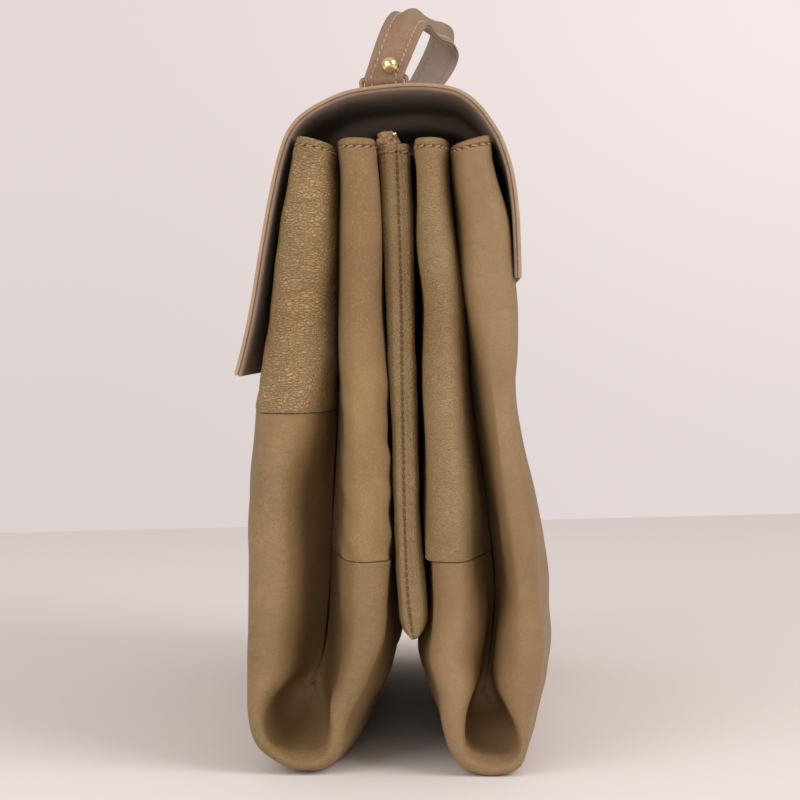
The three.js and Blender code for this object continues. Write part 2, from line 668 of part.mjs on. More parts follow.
function ringGeometry() {
  const rounded = (halfWidth, halfHeight, corner, path) => {
    path.moveTo(halfWidth, -halfHeight + corner);
    path.lineTo(halfWidth, halfHeight - corner);
    path.absarc(halfWidth - corner, halfHeight - corner, corner, 0, Math.PI / 2);
    path.lineTo(-halfWidth + corner, halfHeight);
    path.absarc(-halfWidth + corner, halfHeight - corner, corner, Math.PI / 2, Math.PI);
    path.lineTo(-halfWidth, -halfHeight + corner);
    path.absarc(-halfWidth + corner, -halfHeight + corner, corner, Math.PI, 1.5 * Math.PI);
    path.lineTo(halfWidth - corner, -halfHeight);
    path.absarc(halfWidth - corner, -halfHeight + corner, corner, 1.5 * Math.PI, 2 * Math.PI);
    path.closePath();
    return path;
  };
  const innerWidth = ringWidth / 2 + RING_BEVEL;
  const innerHeight = (ringReach - RING_BAR) / 2 + RING_BEVEL;
  const outer = rounded(
    innerWidth + RING_BAR - 2 * RING_BEVEL,
    innerHeight + RING_BAR - 2 * RING_BEVEL,
    RING_CORNER,
    new THREE.Shape(),
  );
  outer.holes.push(rounded(innerWidth, innerHeight, RING_BEVEL, new THREE.Path()));
  const geometry = new THREE.ExtrudeGeometry(outer, {
    depth: RING_BAR - 2 * RING_BEVEL,
    bevelThickness: RING_BEVEL,
    bevelSize: RING_BEVEL,
    bevelSegments: 1,
    curveSegments: 3,
  });
  geometry.translate(0, 0, RING_BEVEL - RING_BAR / 2);
  geometry.rotateZ(Math.PI / 2);
  geometry.rotateY(Math.PI / 2);
  return geometry;
}

// Leather tab: two flat ends on the crown and a loop over the ring's lower bar.
function tabGeometry() {
  const LOOP_ANGLES = [232, 200, 160, 120, 90, 60, 20, -20, -52];
  const flat = TAB_THICKNESS / 2 + CLEARANCE;
  const loop = LOOP_ANGLES.map((angle) => [
    tabRadius * Math.cos(radians(angle)),
    lowerBar + tabRadius * Math.sin(radians(angle)),
  ]);
  const foot = tabRadius + TAB_THICKNESS;
  const path = [[-TAB_LENGTH / 2, flat], [-foot, flat], ...loop, [foot, flat], [TAB_LENGTH / 2, flat]];
  const points = path.map(([x, z]) => new THREE.Vector3(-x, 0, Math.max(z, flat)));
  return strapBody(framesAlong(points, points.map(() => 0)), STRAP_WIDTH - 2 * CLEARANCE, TAB_THICKNESS);
}

const handleEnds = [1, -1].map((side) => {
  const y = HANDLE_PLACE - side * HANDLE_SKEW;
  const crown = crownAt(y);
  const mount = new THREE.Group();
  mount.position.set((side * HANDLE_SPAN) / 2, y, crown.z);
  mount.rotation.x = Math.atan(crown.slope);
  handbag.add(mount);
  const label = side > 0 ? "a" : "b";
  piece(`ring_tab_${label}`, tabGeometry(), "flap", mount);
  const ring = piece(`handle_ring_${label}`, ringGeometry(), "metal", mount);
  ring.position.z = (lowerBar + upperBar) / 2;
  mount.updateMatrixWorld(true);
  return { bar: mount.localToWorld(new THREE.Vector3(0, 0, upperBar)), tilt: Math.atan(crown.slope) };
});

// Middle line of the handle, sampled finely, with its length up to each sample.
const HANDLE_SAMPLES = 400;
const layerStep = STRAP_THICKNESS + CLEARANCE;
const handleRows = Array.from({ length: HANDLE_SAMPLES + 1 }, (_, i) =>
  rowAt(HANDLE, (i * (HANDLE.length - 1)) / HANDLE_SAMPLES),
);
const handlePoints = handleRows.map((row) => {
  const point = handleEnds[0].bar.clone().lerp(handleEnds[1].bar, row.along);
  point.y += row.lean * HANDLE_LEAN;
  point.z += row.rise * HANDLE_RISE;
  const inset = mix(1, -1, THREE.MathUtils.clamp(row.along, 0, 1));
  point.x += (inset * layerStep) / 2;
  return point;
});
const STRAIGHT_RISE = 0.4;
const handleRolls = handleRows.map((row) => {
  const nearRing = Math.max(1 - row.rise / STRAIGHT_RISE, 0);
  const tilt = handleEnds[row.along < 0.5 ? 0 : 1].tilt;
  return row.roll - THREE.MathUtils.radToDeg(tilt) * nearRing;
});
const handleFrames = framesAlong(handlePoints, handleRolls);
const handleLengths = [0];
for (let i = 1; i <= HANDLE_SAMPLES; i++) {
  handleLengths.push(handleLengths[i - 1] + handlePoints[i].distanceTo(handlePoints[i - 1]));
}
const handleLength = handleLengths[HANDLE_SAMPLES];

// Frame of the handle at a length from its first ring.
function handleAt(length) {
  const after = THREE.MathUtils.clamp(
    handleLengths.findIndex((l) => l >= length),
    1,
    HANDLE_SAMPLES,
  );
  const share = (length - handleLengths[after - 1]) / (handleLengths[after] - handleLengths[after - 1]);
  const [a, b] = [handleFrames[after - 1], handleFrames[after]];
  const blend = (name) => a[name].clone().lerp(b[name], share);
  return {
    middle: blend("middle"),
    across: blend("across").normalize(),
    face: blend("face").normalize(),
  };
}

// Loop at one end, from the tail's top inside the handle, under the ring's bar and up the outer face.
// Each step is a height over the bar and a distance from the strap's middle line towards its face.
function loopFrames(end) {
  const HEIGHTS = [1, 0.66, 0.33, 0];
  const FLARE_HEIGHTS = [1, 0.6, 0.3, 0];
  const ARC_ANGLES = [-22.5, -45, -67.5, -90, -112.5, -135, -157.5];
  const spread = loopRadius - layerStep / 2;
  const barOffset = -layerStep / 2;
  const flare = (share) => spread * (1 - share) ** 2 * (1 + 2 * share);
  const tail = HEIGHTS.map((s) => [mix(LOOP_HEIGHT, STRAP_TAIL, s), -layerStep]);
  const tailFlare = FLARE_HEIGHTS.slice(1).map((s) => [s * LOOP_HEIGHT, -layerStep - flare(s)]);
  const arc = ARC_ANGLES.map((a) => [
    loopRadius * Math.sin(radians(a)),
    barOffset - loopRadius * Math.cos(radians(a)),
  ]);
  const outer = [...FLARE_HEIGHTS].reverse().map((s) => [s * LOOP_HEIGHT, flare(s)]);
  return [...tail, ...tailFlare, ...arc, ...outer].map(([height, offset]) => {
    const frame = handleAt(end === 0 ? Math.max(height, 0) : handleLength - Math.max(height, 0));
    const down = frame.face.clone().cross(frame.across);
    frame.middle.addScaledVector(frame.face, offset);
    frame.middle.addScaledVector(down, Math.min(height, 0));
    return frame;
  });
}

function handleStrap() {
  const ARCH_STEPS = 26;
  const PADDING_START = 0.04;
  const PADDING_FULL = 0.2;
  const nearLoop = loopFrames(0);
  const farLoop = loopFrames(1).reverse();
  const start = LOOP_HEIGHT;
  const stop = handleLength - LOOP_HEIGHT;
  const arch = [];
  for (let i = 1; i < ARCH_STEPS; i++) arch.push(handleAt(mix(start, stop, i / ARCH_STEPS)));
  const frames = [...nearLoop, ...arch, ...farLoop];
  const directed = frames.map((frame, i) => {
    const next = frames[Math.min(i + 1, frames.length - 1)];
    const along = next.middle.clone().sub(frames[Math.max(i - 1, 0)].middle).normalize();
    const face = frame.across.clone().cross(along).normalize();
    return { middle: frame.middle, across: frame.across, face };
  });
  const padded = (i) => {
    const share = (i - nearLoop.length + 1) / ARCH_STEPS;
    const fromEnd = Math.min(share, 1 - share);
    return STRAP_PADDING * THREE.MathUtils.smoothstep(fromEnd, PADDING_START, PADDING_FULL);
  };
  return strapBody(directed, STRAP_WIDTH, STRAP_THICKNESS, padded);
}

// Stud: a ball over the strap's face, a post through both layers and a flat base behind them.
const studRadius = STUD_DIAMETER / 2;
const stackDepth = 2 * STRAP_THICKNESS + CLEARANCE;
const STUD_SEGMENTS = 14;
function studGeometry() {
  const BALL_STEPS = 7;
  const base = studRadius * 0.8;
  const post = STUD_POST / 2;
  const back = -stackDepth - CLEARANCE;
  const ballFoot = CLEARANCE;
  const startAngle = Math.asin(post / studRadius);
  const profile = [[0, back - STUD_BASE], [base, back - STUD_BASE], [base, back], [post, back]];
  for (let i = 0; i <= BALL_STEPS; i++) {
    const angle = mix(startAngle, Math.PI, i / BALL_STEPS);
    const height = ballFoot + studRadius * (Math.cos(startAngle) - Math.cos(angle));
    profile.push([i === BALL_STEPS ? 0 : studRadius * Math.sin(angle), height]);
  }
  return new THREE.LatheGeometry(profile.map(([r, z]) => new THREE.Vector2(r, z)), STUD_SEGMENTS);
}

let strap = solidOf(handleStrap());
for (const end of [0, 1]) {
  const frame = handleAt(end === 0 ? STUD_HEIGHT : handleLength - STUD_HEIGHT);
  const turn = new THREE.Quaternion().setFromUnitVectors(new THREE.Vector3(0, 1, 0), frame.face);
  const place = frame.middle.clone().addScaledVector(frame.face, STRAP_THICKNESS / 2);
  const hole = new THREE.CylinderGeometry(
    STUD_POST / 2 + CLEARANCE,
    STUD_POST / 2 + CLEARANCE,
    4 * stackDepth,
    STUD_SEGMENTS,
  );
  hole.applyQuaternion(turn).translate(place.x, place.y, place.z);
  strap = strap.subtract(solidOf(hole));
  const stud = piece(`ball_stud_${end === 0 ? "a" : "b"}`, studGeometry(), "metal");
  stud.position.copy(place);
  stud.quaternion.copy(turn);
}
piece("handle_strap", geometryOf(strap), "flap");

export default handbag;
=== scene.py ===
import bpy
import numpy as np
from mathutils import Euler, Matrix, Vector


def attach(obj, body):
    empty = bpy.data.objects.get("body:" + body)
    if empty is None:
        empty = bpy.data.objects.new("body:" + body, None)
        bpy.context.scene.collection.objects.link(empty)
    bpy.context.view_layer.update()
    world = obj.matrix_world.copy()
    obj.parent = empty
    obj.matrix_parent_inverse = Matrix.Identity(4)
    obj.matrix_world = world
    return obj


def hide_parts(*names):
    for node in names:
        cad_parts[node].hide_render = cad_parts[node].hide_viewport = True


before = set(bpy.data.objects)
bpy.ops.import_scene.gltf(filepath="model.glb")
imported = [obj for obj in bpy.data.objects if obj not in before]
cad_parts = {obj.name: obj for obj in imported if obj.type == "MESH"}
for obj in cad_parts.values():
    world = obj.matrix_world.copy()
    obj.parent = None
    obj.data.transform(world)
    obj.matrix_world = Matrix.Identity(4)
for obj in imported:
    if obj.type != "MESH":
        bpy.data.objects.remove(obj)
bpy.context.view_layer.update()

MM = 0.001
scene = bpy.context.scene
scene.view_settings.view_transform = "Standard"

EYE = Vector((1.015, 0.0315, 0.187))
LENS = 91.0
TURNED = np.radians(1.98)
TIPPED = np.radians(1.84)
camera = bpy.data.objects.new("camera", bpy.data.cameras.new("camera"))
camera.data.lens = LENS
camera.data.sensor_width = 36.0
camera.location = EYE
camera.rotation_euler = Euler((np.pi / 2 - TIPPED, 0, np.pi / 2 + TURNED))
scene.collection.objects.link(camera)
scene.camera = camera


def put(tree, kind, settings=(), **inputs):
    """Adds a shader node. An input is a value or another node's socket; _0 is the first input, and
    an underscore in a name stands for a space."""
    node = tree.nodes.new("ShaderNode" + kind)
    for name, value in dict(settings).items():
        setattr(node, name, value)
    for name, value in inputs.items():
        key = int(name[1:]) if name[0] == "_" else name.replace("_", " ")
        socket = node.inputs[key]
        if isinstance(value, bpy.types.NodeSocket):
            tree.links.new(value, socket)
        else:
            socket.default_value = value
    return node


def linear(red, green, blue):
    """A colour of 0 to 255 as the eye reads it, as a shader colour: the sRGB curve undone."""
    shares = np.array([red, green, blue]) / 255
    curved = np.where(shares > 0.04045, ((shares + 0.055) / 1.055) ** 2.4, shares / 12.92)
    return (*curved.tolist(), 1.0)


world = bpy.data.worlds.new("studio")
world.use_nodes = True
scene.world = world
room = world.node_tree
room.nodes.clear()
S_CURVE = {"interpolation_type": "SMOOTHSTEP"}
# The backdrop that the camera sees is painted light: brighter towards the top and to the right and darker low
# down, as light falls on the room's wall.
toward = put(room, "SeparateXYZ", _0=put(room, "TexCoord").outputs["Generated"]).outputs
wall_side = put(room, "MapRange", S_CURVE, Value=toward[1], From_Min=-0.2, From_Max=0.2).outputs[0]
wall_height = put(room, "MapRange", S_CURVE, Value=toward[2], From_Min=-0.09, From_Max=0.17).outputs[0]
wall_top = put(room, "MixRGB", _0=wall_side, _1=linear(229, 218, 217), _2=linear(246, 235, 232))
wall_low = put(room, "MixRGB", _0=wall_side, _1=linear(220, 210, 207), _2=linear(229, 218, 218))
wall = put(room, "MixRGB", _0=wall_height, _1=wall_low.outputs[0], _2=wall_top.outputs[0])
seen = put(room, "Background", Color=wall.outputs[0], Strength=1.0)
above = put(room, "MapRange", Value=toward[2], From_Min=-0.1, From_Max=1.0, To_Min=0.46, To_Max=0.82)
felt = put(room, "Background", Color=linear(238, 230, 226), Strength=above.outputs[0])
path = put(room, "LightPath")
both = put(room, "MixShader", _0=path.outputs["Is Camera Ray"], _1=felt.outputs[0], _2=seen.outputs[0])
put(room, "OutputWorld", Surface=both.outputs[0])


def lamp(name, place, aim, size, power, colour):
    """A square area lamp at a place, turned to face a point."""
    light = bpy.data.lights.new(name, "AREA")
    light.size = size
    light.energy = power
    light.color = colour
    lamp_object = bpy.data.objects.new(name, light)
    lamp_object.location = place
    lamp_object.rotation_euler = (Vector(aim) - Vector(place)).to_track_quat("-Z", "Y").to_euler()
    scene.collection.objects.link(lamp_object)


BAG_MIDDLE = (0.0, 0.0, 0.15)
lamp("window", (0.8, 1.5, 1.15), BAG_MIDDLE, 1.2, 20, (1.0, 0.975, 0.955))
lamp("fill", (1.3, -1.0, 0.75), BAG_MIDDLE, 1.2, 11, (1.0, 0.98, 0.97))
lamp("low", (1.6, -0.1, 0.3), BAG_MIDDLE, 0.8, 3, (1.0, 0.97, 0.97))
lamp("under_crown", (0.03, 0.0, 0.2735), (0.03, 0.0, 0.5), 0.06, 0.0016, (1.0, 0.9, 0.9))

FLOOR_END = -1.0
FLOOR_SKEW = 1.2
FLOOR_REACH = 4.0
floor_mesh = bpy.data.meshes.new("floor")
floor_corners = [
    (FLOOR_END + FLOOR_SKEW, -FLOOR_REACH, 0), (FLOOR_REACH, -FLOOR_REACH, 0),
    (FLOOR_REACH, FLOOR_REACH, 0), (FLOOR_END - FLOOR_SKEW, FLOOR_REACH, 0),
]
floor_mesh.from_pydata(floor_corners, [], [(0, 1, 2, 3)])
floor = bpy.data.objects.new("floor", floor_mesh)
scene.collection.objects.link(floor)
floor_paint = bpy.data.materials.new("floor_paint")
floor_paint.use_nodes = True
floor_look = floor_paint.node_tree.nodes["Principled BSDF"].inputs
floor_look["Base Color"].default_value = linear(240, 233, 231)
floor_look["Roughness"].default_value = 0.7
floor_mesh.materials.append(floor_paint)


# Front panel of the front pouch: soft pebbled leather, turned in at the top into a stitched hem and
# wrapped round both ends of the bag as far as the fold between the pouch's two lips.
BAG_LENGTH = 330 * MM
BAG_DEPTH = 137 * MM
POUCH_HEIGHT = 270 * MM
LIP_RADIUS = 12 * MM
VALLEY_DEPTH = 40 * MM
FOLD_OVERLAP = 0.1 * MM
FOLD_LIP = 9 * MM
HOLLOW_POWER = 2 / 2.5
PANEL_FULLNESS = 6
PANEL_SOFTNESS = 1.3
POUCH_WALL = 1.6 * MM
HEM_WALL = 2.4 * MM
HEM_STITCH = 3.7 * MM
STITCH_PITCH = 4.0 * MM
FRONT_SEAM_HEIGHT = 154 * MM
INNER_SEAM_HEIGHT = 91 * MM

# From the top of the front panel down, under the base and up the inner panel. Columns: y, z, bulge,
# drop, fold's y, fold's z, lip, valley, as shares of the depth, the height and the two sizes above, and
# hollow, 1 where the flank drops steeply behind the lip.
FRONT_POUCH = [
    (-0.304, 1.005, -0.01, 0, -0.187, 0.99, 0.66, 0.85, 0),
    (-0.351, 0.904, -0.011, 0, -0.181, 0.904, 0.92, 0.9, 0),
    (-0.393, 0.748, -0.019, 0, -0.184, 0.748, 1, 0.95, 0),
    (-0.413, 0.63, -0.05, 0, -0.193, 0.63, 1, 1, 0),
    (-0.432, 0.556, -0.055, 0, -0.199, 0.556, 1, 1, 0),
    (-0.46, 0.437, -0.034, 0, -0.212, 0.437, 1, 1, 0),
    (-0.457, 0.281, -0.032, 0, -0.224, 0.281, 1, 1, 0),
    (-0.461, 0.167, -0.022, 0, -0.248, 0.167, 0.8, 1, 0.3),
    (-0.46, 0.096, -0.01, 0, -0.2715, 0.133, 0.36, 0.95, 0.8),
    (-0.428, 0.044, -0.006, -0.012, -0.2785, 0.122, 0.26, 0.9, 1),
    (-0.354, 0.015, -0.004, -0.026, -0.2795, 0.118, 0.23, 0.9, 0.7),
    (-0.277, 0.0075, 0, -0.02, -0.28, 0.116, 0.22, 0.9, 0.5),
    (-0.212, 0.0126, 0.018, -0.024, -0.2795, 0.118, 0.26, 0.9, 0.6),
    (-0.17, 0.039, 0.046, -0.016, -0.2785, 0.122, 0.37, 0.92, 0.9),
    (-0.143, 0.089, 0.066, 0, -0.2715, 0.133, 0.44, 0.95, 1),
    (-0.084, 0.141, 0.055, 0, -0.2525, 0.156, 0.64, 0.98, 0.6),
    (-0.038, 0.215, 0.029, 0, -0.234, 0.207, 0.87, 1, 0.2),
    (-0.024, 0.296, 0.019, 0, -0.223, 0.296, 1, 1, 0),
    (-0.015, 0.37, 0.004, 0, -0.219, 0.37, 1, 1, 0),
    (-0.024, 0.515, 0.002, 0, -0.202, 0.515, 1, 1, 0),
    (-0.037, 0.704, 0.003, 0, -0.187, 0.704, 0.87, 0.95, 0),
    (-0.049, 0.904, -0.001, 0, -0.181, 0.904, 0.75, 0.9, 0),
    (-0.067, 1.0, 0.004, 0, -0.187, 1.0, 0.66, 0.85, 0),
]


def through(rows, places):
    """Values of a table at places from 0 to its last row: the cubic whose slope at each row is half
    the step from the row before to the row after."""
    rows = np.asarray(rows, float)
    first = np.clip(np.floor(places).astype(int), 0, len(rows) - 2)
    f = (places - first)[:, None]
    a, b, c, d = (rows[np.clip(first + k, 0, len(rows) - 1)] for k in (-1, 0, 1, 2))
    return b + f * ((c - a) / 2 + f * (a - 2.5 * b + 2 * c - d / 2 + f * ((d - a) / 2 + 1.5 * (b - c))))


def unit(vectors):
    """Vectors divided by their lengths."""
    return vectors / np.linalg.norm(vectors, axis=-1, keepdims=True)


def walk_along(line):
    """Distance walked from a line's first point to each of its points."""
    return np.concatenate([[0], np.cumsum(np.linalg.norm(np.diff(line, axis=0), axis=1))])


def joined(*parts):
    """Points from their coordinates, which may be arrays of any shapes that fit together."""
    return np.stack(np.broadcast_arrays(*parts), -1)


def walked_ridge(table):
    """Fine places along a pouch's table, the distance walked along its end ridge to each of them, and
    the ridge's height there."""
    places = np.linspace(0, len(table) - 1, 4001)
    values = through(table, places)
    ridge = np.stack([values[:, 0] * BAG_DEPTH, values[:, 1] * POUCH_HEIGHT], 1)
    return places, walk_along(ridge), ridge[:, 1]


def distances(begin, end, pitch, begin_hem, end_hem):
    """Distances from begin to end: close together where an edge rounds over and across a hem's
    stitch line, and about a pitch apart elsewhere."""
    rounding = 1.2 * MM * (1 - np.cos(np.linspace(0, np.pi / 2, 6)))
    hem = np.concatenate([rounding, np.arange(1.6, 9.0, 0.45) * MM])
    seam = np.concatenate([rounding, np.array([1.8, 2.6]) * MM])
    first = hem if begin_hem else seam
    last = hem if end_hem else seam
    inner = np.linspace(begin + first[-1], end - last[-1], int((end - begin) / pitch) + 1)[1:-1]
    return np.concatenate([begin + first, inner, end - last[::-1]])


# The flank's cubic arch at the bottom of a pouch, and what its plump upper part adds to each: how far it
# keeps to the fold as a share of its depth, how full it is, and how far it may reach inward.
PLUMP_BETWEEN = (0.4, 0.8)
HOLD, PLUMP_HOLD = 0.2, 0.55
FULL, PLUMP_FULL = 0.3, 1.45
REACH, PLUMP_REACH = 0.7, 0.15
FOLD_DIP = 0.3


def pouch_section(table, walked):
    """Grid of a pouch's outer face at distances along its ridge. From the lip's crest the flank leads
    to the fold on a cubic arch, whose reach grows with the root of its depth times the lip's radius,
    or where the pouch is hollow round a quarter circle and a quarter of a superellipse. On the other
    side of the crest a quarter circle turns on to the panel, and the panel bulges by its full amount
    at mid length. The other half mirrors it."""
    places, ridge_walk, _ = walked_ridge(table)
    values = through(table, np.interp(walked, ridge_walk, places))
    y, z, bulge, drop, fold_y, fold_z, lip, valley, hollow = values.T[:, :, None]
    hollow = np.clip(hollow, 0, 1)
    ridge = np.stack([y * BAG_DEPTH, z * POUCH_HEIGHT], -1)
    inward = np.stack([fold_y * BAG_DEPTH, fold_z * POUCH_HEIGHT], -1) - ridge
    width = np.linalg.norm(inward, axis=-1)
    inward = inward / width[..., None]
    radius = np.minimum(lip * LIP_RADIUS, width / 2)
    lip_x = BAG_LENGTH / 2 - radius
    depth = valley * VALLEY_DEPTH + FOLD_LIP
    fold_x = BAG_LENGTH / 2 - depth
    fold_in = width + FOLD_OVERLAP
    plump = smooth(*PLUMP_BETWEEN, z)
    hold = HOLD + PLUMP_HOLD * plump
    reach = np.sqrt(2 / 3 * depth * (1 - hold) * radius * (FULL + PLUMP_FULL * plump))
    reach = np.minimum(reach, (REACH + PLUMP_REACH * plump) * (width - radius))
    t = np.linspace(0, 1, 26)[None, :]
    a, b, c, d = (1 - t) ** 3, 3 * (1 - t) ** 2 * t, 3 * (1 - t) * t**2, t**3
    arch_x = (a + b) * fold_x + b * hold * depth + (c + d) * BAG_LENGTH / 2
    arch_in = (a + b) * fold_in - b * FOLD_DIP * (1 - plump) * (width - radius)
    arch_in = arch_in + c * (radius + reach) + d * radius
    bend = np.linspace(0, np.pi / 2, 17)[None, :]
    curl = np.linspace(np.pi / 2, 0, 10)[None, 1:]
    deep_x = np.concatenate([lip_x - (lip_x - fold_x) * np.cos(bend) ** HOLLOW_POWER,
                             lip_x + radius * np.cos(curl)], 1)
    deep_in = np.concatenate([fold_in - (fold_in - 2 * radius) * np.sin(bend) ** HOLLOW_POWER,
                              radius + radius * np.sin(curl)], 1)
    flank_x = arch_x + hollow * (deep_x - arch_x)
    flank_in = arch_in + hollow * (deep_in - arch_in)
    turn = np.linspace(0, np.pi / 2, 13)[None, 1:]
    turn_x = lip_x + radius * np.cos(turn)
    turn_in = radius * (1 - np.sin(turn))
    shares = 1 - np.linspace(0, 1, 42)[None, 1:] ** 1.25
    panel_x = lip_x * shares
    full = np.broadcast_to((1 - shares**PANEL_FULLNESS) ** PANEL_SOFTNESS, panel_x.shape)
    half_x = np.concatenate([flank_x, turn_x, panel_x], 1)
    half_in = np.concatenate([flank_in, turn_in, 0 * panel_x], 1)
    half_full = np.concatenate([0 * flank_x, 0 * turn_x, full], 1)
    x = np.concatenate([half_x, -half_x[:, -2::-1]], 1)
    into = np.concatenate([half_in, half_in[:, -2::-1]], 1)
    full = np.concatenate([half_full, half_full[:, -2::-1]], 1)
    out_y = ridge[..., 0] + inward[..., 0] * into + full * bulge * BAG_DEPTH
    out_z = ridge[..., 1] + inward[..., 1] * into + full * drop * POUCH_HEIGHT
    return np.stack([x, out_y, np.maximum(out_z, 0)], -1)


def facing(grid):
    """Unit normals of a grid, the cross product of its steps across and down."""
    return unit(np.cross(np.gradient(grid, axis=1), np.gradient(grid, axis=0)))


WAVES = 28


def ripple(points, size, seed):
    """Soft bumps from about -1 to 1: the sum of sine waves in random directions, each near the given
    size, which may differ along X, Y and Z."""
    draw = np.random.default_rng(seed)
    waves = unit(draw.normal(size=(WAVES, 3))) * draw.uniform(0.6, 1.5, (WAVES, 1)) * 2 * np.pi
    phase = draw.uniform(0, 2 * np.pi, WAVES)
    scaled = points / np.asarray(size)
    total = np.zeros(points.shape[:-1])
    for wave, start in zip(waves, phase):
        total += np.sin(scaled @ wave + start)
    return total / np.sqrt(WAVES / 2) / 1.6


def smooth(low, high, value):
    """0 below low, 1 above high, and an S-shaped cubic between."""
    share = np.clip((value - low) / (high - low), 0, 1)
    return share * share * (3 - 2 * share)


def bell(value, place, width):
    """A bell of height 1 at a place, that falls off over a width."""
    return np.exp(-(((value - place) / width) ** 2))


def edge_inset(distance, wall):
    """How far a wall's face draws in towards its middle near an edge, so that the edge is round: a
    quarter circle of half the wall's thickness, with a sliver left flat at the very edge."""
    half = wall / 2
    left = np.clip(half - distance, 0, half)
    return 0.92 * (half - np.sqrt(half**2 - left**2))


def link(name, mesh):
    """A new object for a mesh, with smooth faces, in the scene."""
    mesh.polygons.foreach_set("use_smooth", np.ones(len(mesh.polygons), bool))
    mesh.update()
    made = bpy.data.objects.new(name, mesh)
    scene.collection.objects.link(made)
    return made


def mesh_of(name, points, faces, lengths=None):
    """A mesh of points and faces of four corners, turned inside out if its volume is negative: the
    sum over faces of the box product of their corners. lengths is each point's place on the
    surface, kept as a UV map in metres."""
    corner = points[faces]
    box = np.einsum("ij,ij->i", corner[:, 0], np.cross(corner[:, 1], corner[:, 2]))
    box += np.einsum("ij,ij->i", corner[:, 0], np.cross(corner[:, 2], corner[:, 3]))
    if box.sum() < 0:
        faces = faces[:, ::-1]
    mesh = bpy.data.meshes.new(name)
    mesh.vertices.add(len(points))
    mesh.vertices.foreach_set("co", points.astype(np.float32).ravel())
    mesh.loops.add(faces.size)
    mesh.loops.foreach_set("vertex_index", faces.astype(np.int32).ravel())
    mesh.polygons.add(len(faces))
    mesh.polygons.foreach_set("loop_start", np.arange(0, faces.size, 4, dtype=np.int32))
    mesh.update(calc_edges=True)
    if lengths is not None:
        layer = mesh.uv_layers.new(name="lengths")
        layer.data.foreach_set("uv", lengths[faces.ravel()].astype(np.float32).ravel())
    return mesh


def shell(name, outer, inner, lengths):
    """Closed body between two grids of points: a face per cell on both sides and a row round the
    rim."""
    rows, columns = outer.shape[:2]
    over = np.arange(rows * columns).reshape(rows, columns)
    under = over + rows * columns

    def cells(index):
        return np.stack([index[:-1, :-1], index[:-1, 1:], index[1:, 1:], index[1:, :-1]], -1).reshape(-1, 4)

    rim = np.concatenate([over[0, :-1], over[:-1, -1], over[-1, :0:-1], over[:0:-1, 0]])
    after = np.roll(rim, -1)
    wall = np.stack([after, rim, rim + rows * columns, after + rows * columns], -1)
    faces = np.concatenate([cells(over), cells(under)[:, ::-1], wall])
    points = np.concatenate([outer.reshape(-1, 3), inner.reshape(-1, 3)])
    flat = np.concatenate([lengths.reshape(-1, 2)] * 2)
    return link(name, mesh_of(name, points, faces, flat))


def around(index):
    """Faces between rings of points. The last point of each ring meets its first."""
    ahead = np.roll(index, -1, -1)
    corners = [index[..., :-1, :], ahead[..., :-1, :], ahead[..., 1:, :], index[..., 1:, :]]
    return np.stack(corners, -1).reshape(-1, 4)


def pouch_piece(name, table, begin, end, pitch, hem_first, hem_last, relief):
    """One leather panel of a pouch between two distances on its ridge. Its face is the pouch's
    section lifted by relief(points), which fades towards the folds. Its hem is thicker, with a bead
    above the stitch line, a groove along it and a soft rise below, and its edges are round. Also
    returns the hem's stitch line, its outward directions and its lengths from mid length."""
    walked = distances(begin, end, pitch, hem_first, hem_last)
    base = pouch_section(table, walked)
    out = facing(base)
    from_begin = (walked - begin)[:, None]
    from_end = (end - walked)[:, None]
    hem = from_begin if hem_first else from_end
    across = np.linalg.norm(np.diff(base, axis=1), axis=-1)
    along = np.concatenate([np.zeros((len(base), 1)), np.cumsum(across, 1)], 1)
    from_fold = np.minimum(along, along[:, -1:] - along)
    along -= along[:, [along.shape[1] // 2]]
    lift = relief(base) * smooth(2 * MM, 26 * MM, from_fold)
    wall = np.full_like(hem, POUCH_WALL)
    if hem_first or hem_last:
        lift = lift * smooth(3 * MM, 16 * MM, hem)
        lift = lift + MM * (
            0.25 * bell(hem, 1.7 * MM, 1.5 * MM)
            - 0.5 * bell(hem, HEM_STITCH, 0.6 * MM)
            + 0.35 * bell(hem, 6.2 * MM, 2.4 * MM)
        )
        wall = wall + (HEM_WALL - POUCH_WALL) * (1 - smooth(4 * MM, 9 * MM, hem))
    else:
        hem = np.full_like(hem, 1.0)
    inset = edge_inset(np.minimum(from_begin, from_end), wall)
    outer = base + out * (lift - inset)[..., None]
    inner = base + out * (lift - wall + inset)[..., None]
    lengths = joined(along, hem)
    outer[..., 2] = np.maximum(outer[..., 2], 0)
    inner[..., 2] = np.maximum(inner[..., 2], 0.3 * MM)
    made = shell(name, outer, inner, lengths)
    row = np.abs(hem[:, 0] - HEM_STITCH).argmin()
    return made, (outer[row], out[row], along[row])


